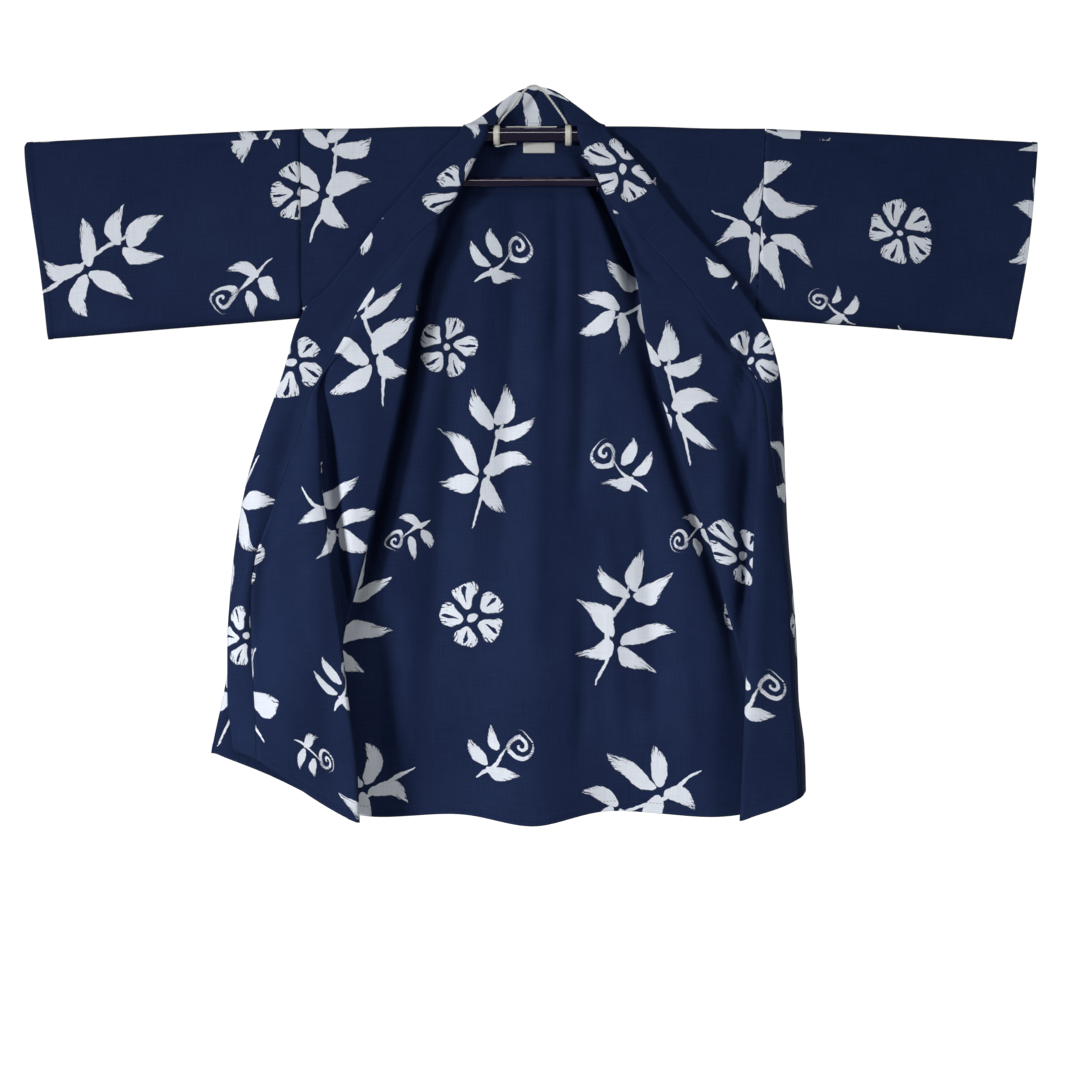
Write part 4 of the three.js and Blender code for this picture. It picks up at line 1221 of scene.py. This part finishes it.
# A thin white wire lies on the tube, and a short knot and tail hang from the left ring.
TUBE_TOP, RING_FOOT = ROD_DOWN - TUBE_RADIUS, ROD_DOWN + RING_RADIUS
TUBE_WIRE = [(x, 0, 0.9 - TUBE_TOP) for x in (-34, -20, 0, 14, 31)]
RING_TAIL = [
    (-RING_OUT - 2, -3, -RING_FOOT - 0.4),
    (-RING_OUT + 2, -5, -RING_FOOT - 1.6),
    (-38, -4, 0.6 - RING_FOOT),
    (-30, -2, 2 - RING_FOOT),
    (-21, 0, 2.2 - RING_FOOT),
]
for name, points, radius in (("tube_wire", TUBE_WIRE, 0.8), ("ring_tail", RING_TAIL, 1.1)):
    wire = twisted_cord(name, bspline(np.array(points, float), 6) * MM, radius * MM, WIRE_PITCH * MM)
    wire.data.materials.append(CORD_WHITE)

# ---------- the garment ----------
COTTON = cotton("indigo_cotton")
THREAD = navy_thread()
BEAD = ((-0.5, 0.15), (-0.36, 0.85), (0, 1), (0.36, 0.85), (0.5, 0.15))  # place along a stitch, share of its radius
BEAD_SIDES = 6
BEAD_SUNK = 0.16  # how deep a stitch's ends dip into the cloth
CUT_SHIFT = {
    "back": (30, -140),
    "front_left": (120, -420),
    "front_right": (250, -60),
    "sleeve_left": (60, -240),
    "sleeve_right": (200, -500),
    "collar": (150, 40),
}


def stitches(name, paths, length=3.0, pitch=4.6, radius=0.28):
    """Sewing thread along paths of (points, outward normals) in millimetres, one long bead for each stitch."""
    points, faces = [], []
    for path, normals in paths:
        along = lengths_along(path)
        for at in np.arange(pitch / 2, along[-1], pitch):
            direction = at_length(at + 1, along, path) - at_length(at - 1, along, path)
            direction /= np.linalg.norm(direction)
            normal = at_length(at, along, normals)
            normal /= np.linalg.norm(normal)
            cross = np.cross(direction, normal)
            faces += tube_faces(len(points), len(BEAD), BEAD_SIDES)
            for t, share in BEAD:
                middle = at_length(at, along, path) + direction * t * length - normal * BEAD_SUNK * (2 * t) ** 2
                points += ring_points(middle, cross, normal, radius * share, BEAD_SIDES)
    obj = shown(name, np.array(points) * MM, faces)
    obj.data.materials.append(THREAD)
    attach(obj, "root")
    return obj


def sewn(name, seam, grid, thick, uv, line, proud, ring=False):
    """A piece of cotton, and the thread of the seam along one line of its grid, on both of its faces."""
    obj = cloth_mesh(name + "_cloth", grid, thick, uv, CUT_SHIFT[name], ring)
    obj.data.materials.append(COTTON)
    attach(obj, "root")
    normals = grid_normals(grid, ring)[line]
    paths = [(grid[line] + normals * offset, normals * np.sign(offset)) for offset in (proud, -proud)]
    return obj, stitches(f"{name}_{seam}_stitches", paths)


def front_creases(grid, name):
    """The turned-out part has its own creases, and the layer under the pleat sinks."""
    columns = np.arange(grid.shape[1])
    turned = columns >= REAR_END
    under = np.clip((PLEAT_VALLEY - columns) / (2 * REFINE), 0, 1) * turned
    own = np.where(turned, crease_field(grid, TURNED_CREASES[name]), crease_field(grid, REAR_CREASES[name]))
    return own + crease_field(grid, UNDER_PLEAT[name]) * under


HEM_LINE = HEM_ROWS.index(HEM_STITCH) - len(HEM_ROWS)
CUFF_LINE = CUFF_ROWS.index(CUFF_STITCH) - len(CUFF_ROWS)
COLLAR_LINE = (slice(None), 2)

fronts = {}
for name, side in SIDES.items():
    grid, down_cloth = front_grid(side)
    fronts[name] = relax(grid, RELAX_TIMES, RELAX_FROM, len(grid) - len(HEM_ROWS))
    grid = bspline(fronts[name], REFINE, axis=1)
    grid[..., 1] -= front_creases(grid, name)
    uv = np.stack([arc_lengths(grid), -bspline(down_cloth, REFINE, axis=1)], axis=-1)
    obj, sewing = sewn("front_" + name, "hem", grid, hem_thickness(grid), uv, HEM_LINE, PLAIN / 2)
    # The panel widens towards its hem, where the collar's seam runs on the slant.
    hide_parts("front_" + name)

grid, down_cloth = back_grid()
grid = bspline(grid, BACK_REFINE, axis=1)
grid[..., 1] -= crease_field(grid, BACK_INSIDE)
across = arc_lengths(grid)
middle = across[:, across.shape[1] // 2][:, None]
uv = np.stack([across - middle, -bspline(down_cloth, BACK_REFINE, axis=1)], axis=-1)
back, sewing = sewn("back", "hem", grid, hem_thickness(grid), uv, HEM_LINE, PLAIN / 2)
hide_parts("back")

for name, side in SIDES.items():
    grid = bspline(sleeve_grid(side), SLEEVE_REFINE, axis=1, ring=True)
    around = np.concatenate([grid, grid[:, :1]], axis=1)
    uv = np.stack([np.abs(around[..., 0]), -arc_lengths(around)], axis=-1)
    thick = np.full(grid.shape[:2], PLAIN)
    thick[-len(CUFF_ROWS) :] = HEMMED
    thick[-len(CUFF_ROWS)] = PLAIN * GROOVE
    obj, sewing = sewn("sleeve_" + name, "cuff", grid, thick, uv, CUFF_LINE, HEMMED / 2, ring=True)
    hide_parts("sleeve_" + name)

grid = bspline(collar_grid(fronts), COLLAR_REFINE, axis=1)
grid[..., 1] -= crease_field(grid, LEFT_TURNED + RIGHT_TURNED)
along = lengths_along(grid[:, 0])
uv = np.stack([arc_lengths(grid), np.broadcast_to(-along[:, None], grid.shape[:2])], axis=-1)
collar, sewing = sewn("collar", "seam", grid, COLLAR_THICK, uv, COLLAR_LINE, COLLAR_THICK / 2)
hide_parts("collar_band")

LABEL_X, LABEL_DOWN = np.linspace(-12, 29, 18), np.linspace(60, 87, 12)
LABEL_THICK = 0.7
LABEL_OFF = 1.6  # from the mid-surface of the back, a hair clear of its face
grid = np.array([[(x, back_depth(x, down) - LABEL_OFF, -down) for x in LABEL_X] for down in LABEL_DOWN])
label = cloth_mesh("neck_label_cloth", grid, LABEL_THICK, grid[..., ::2], (0, 0))
label.data.materials.append(white_fibre("label_white", 1400.0))
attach(label, "root")
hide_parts("neck_label")

# ---------- floor and light ----------
FLOOR_Z, FLOOR_REACH = -1.42, 30
floor_mesh = bpy.data.meshes.new("floor")
corners = [(x * FLOOR_REACH, y * FLOOR_REACH, FLOOR_Z) for x, y in ((-1, -1), (1, -1), (1, 1), (-1, 1))]
floor_mesh.from_pydata(corners, [], [(0, 1, 2, 3)])
floor = placed("floor", floor_mesh)
floor_nodes = Nodes("floor_pale")
floor_nodes.surface(
    Base_Color=(0.93, 0.93, 0.93, 1),
    Roughness=0.9,
    Specular_IOR_Level=0.1,
    Emission_Color=(1, 1, 1, 1),
    Emission_Strength=1.02,
)
floor.data.materials.append(floor_nodes.material)
# The floor shows white and lets the lamps alone light the cloth.
floor.visible_diffuse = floor.visible_glossy = False


def area_light(name, place, target, size, power, spread=math.pi):
    light = bpy.data.lights.new(name, "AREA")
    light.spread = spread
    light.shape = "RECTANGLE"
    light.size, light.size_y = size
    light.energy = power
    obj = placed(name, light)
    obj.location = place
    obj.rotation_mode = "QUATERNION"
    obj.rotation_quaternion = (Vector(target) - Vector(place)).to_track_quat("-Z", "Y")


BODY_AIM = (-0.06, 0, -0.80)
BEAM = math.radians(46)  # the side lamps' beams fall off towards the sleeves
area_light("key", (-3.1, -2.5, -0.4), BODY_AIM, (0.7, 0.7), 9.3, BEAM)
area_light("fill", (2.5, -3.2, -0.6), BODY_AIM, (1.2, 1.2), 2.9, BEAM)
area_light("strip", (0.0, -2.6, 1.9), (0, 0, -0.1), (2.4, 0.20), 15)
area_light("rear", (0.8, 3.6, 1.6), (0, 0, -0.5), (2.6, 2.0), 170)

AMBIENT, SEEN_WHITE = 0.085, 1.05
world = bpy.data.worlds.new("studio")
bpy.context.scene.world = world
world.use_nodes = True
world_nodes = world.node_tree
background = world_nodes.nodes["Background"]
background.inputs["Color"].default_value = (1, 1, 1, 1)
path = world_nodes.nodes.new("ShaderNodeLightPath")
strength = world_nodes.nodes.new("ShaderNodeMapRange")
strength.inputs["To Min"].default_value = AMBIENT
strength.inputs["To Max"].default_value = SEEN_WHITE
world_nodes.links.new(path.outputs["Is Camera Ray"], strength.inputs["Value"])
world_nodes.links.new(strength.outputs["Result"], background.inputs["Strength"])
bpy.context.scene.view_settings.view_transform = "Standard"
bpy.context.scene.view_settings.look = "None"
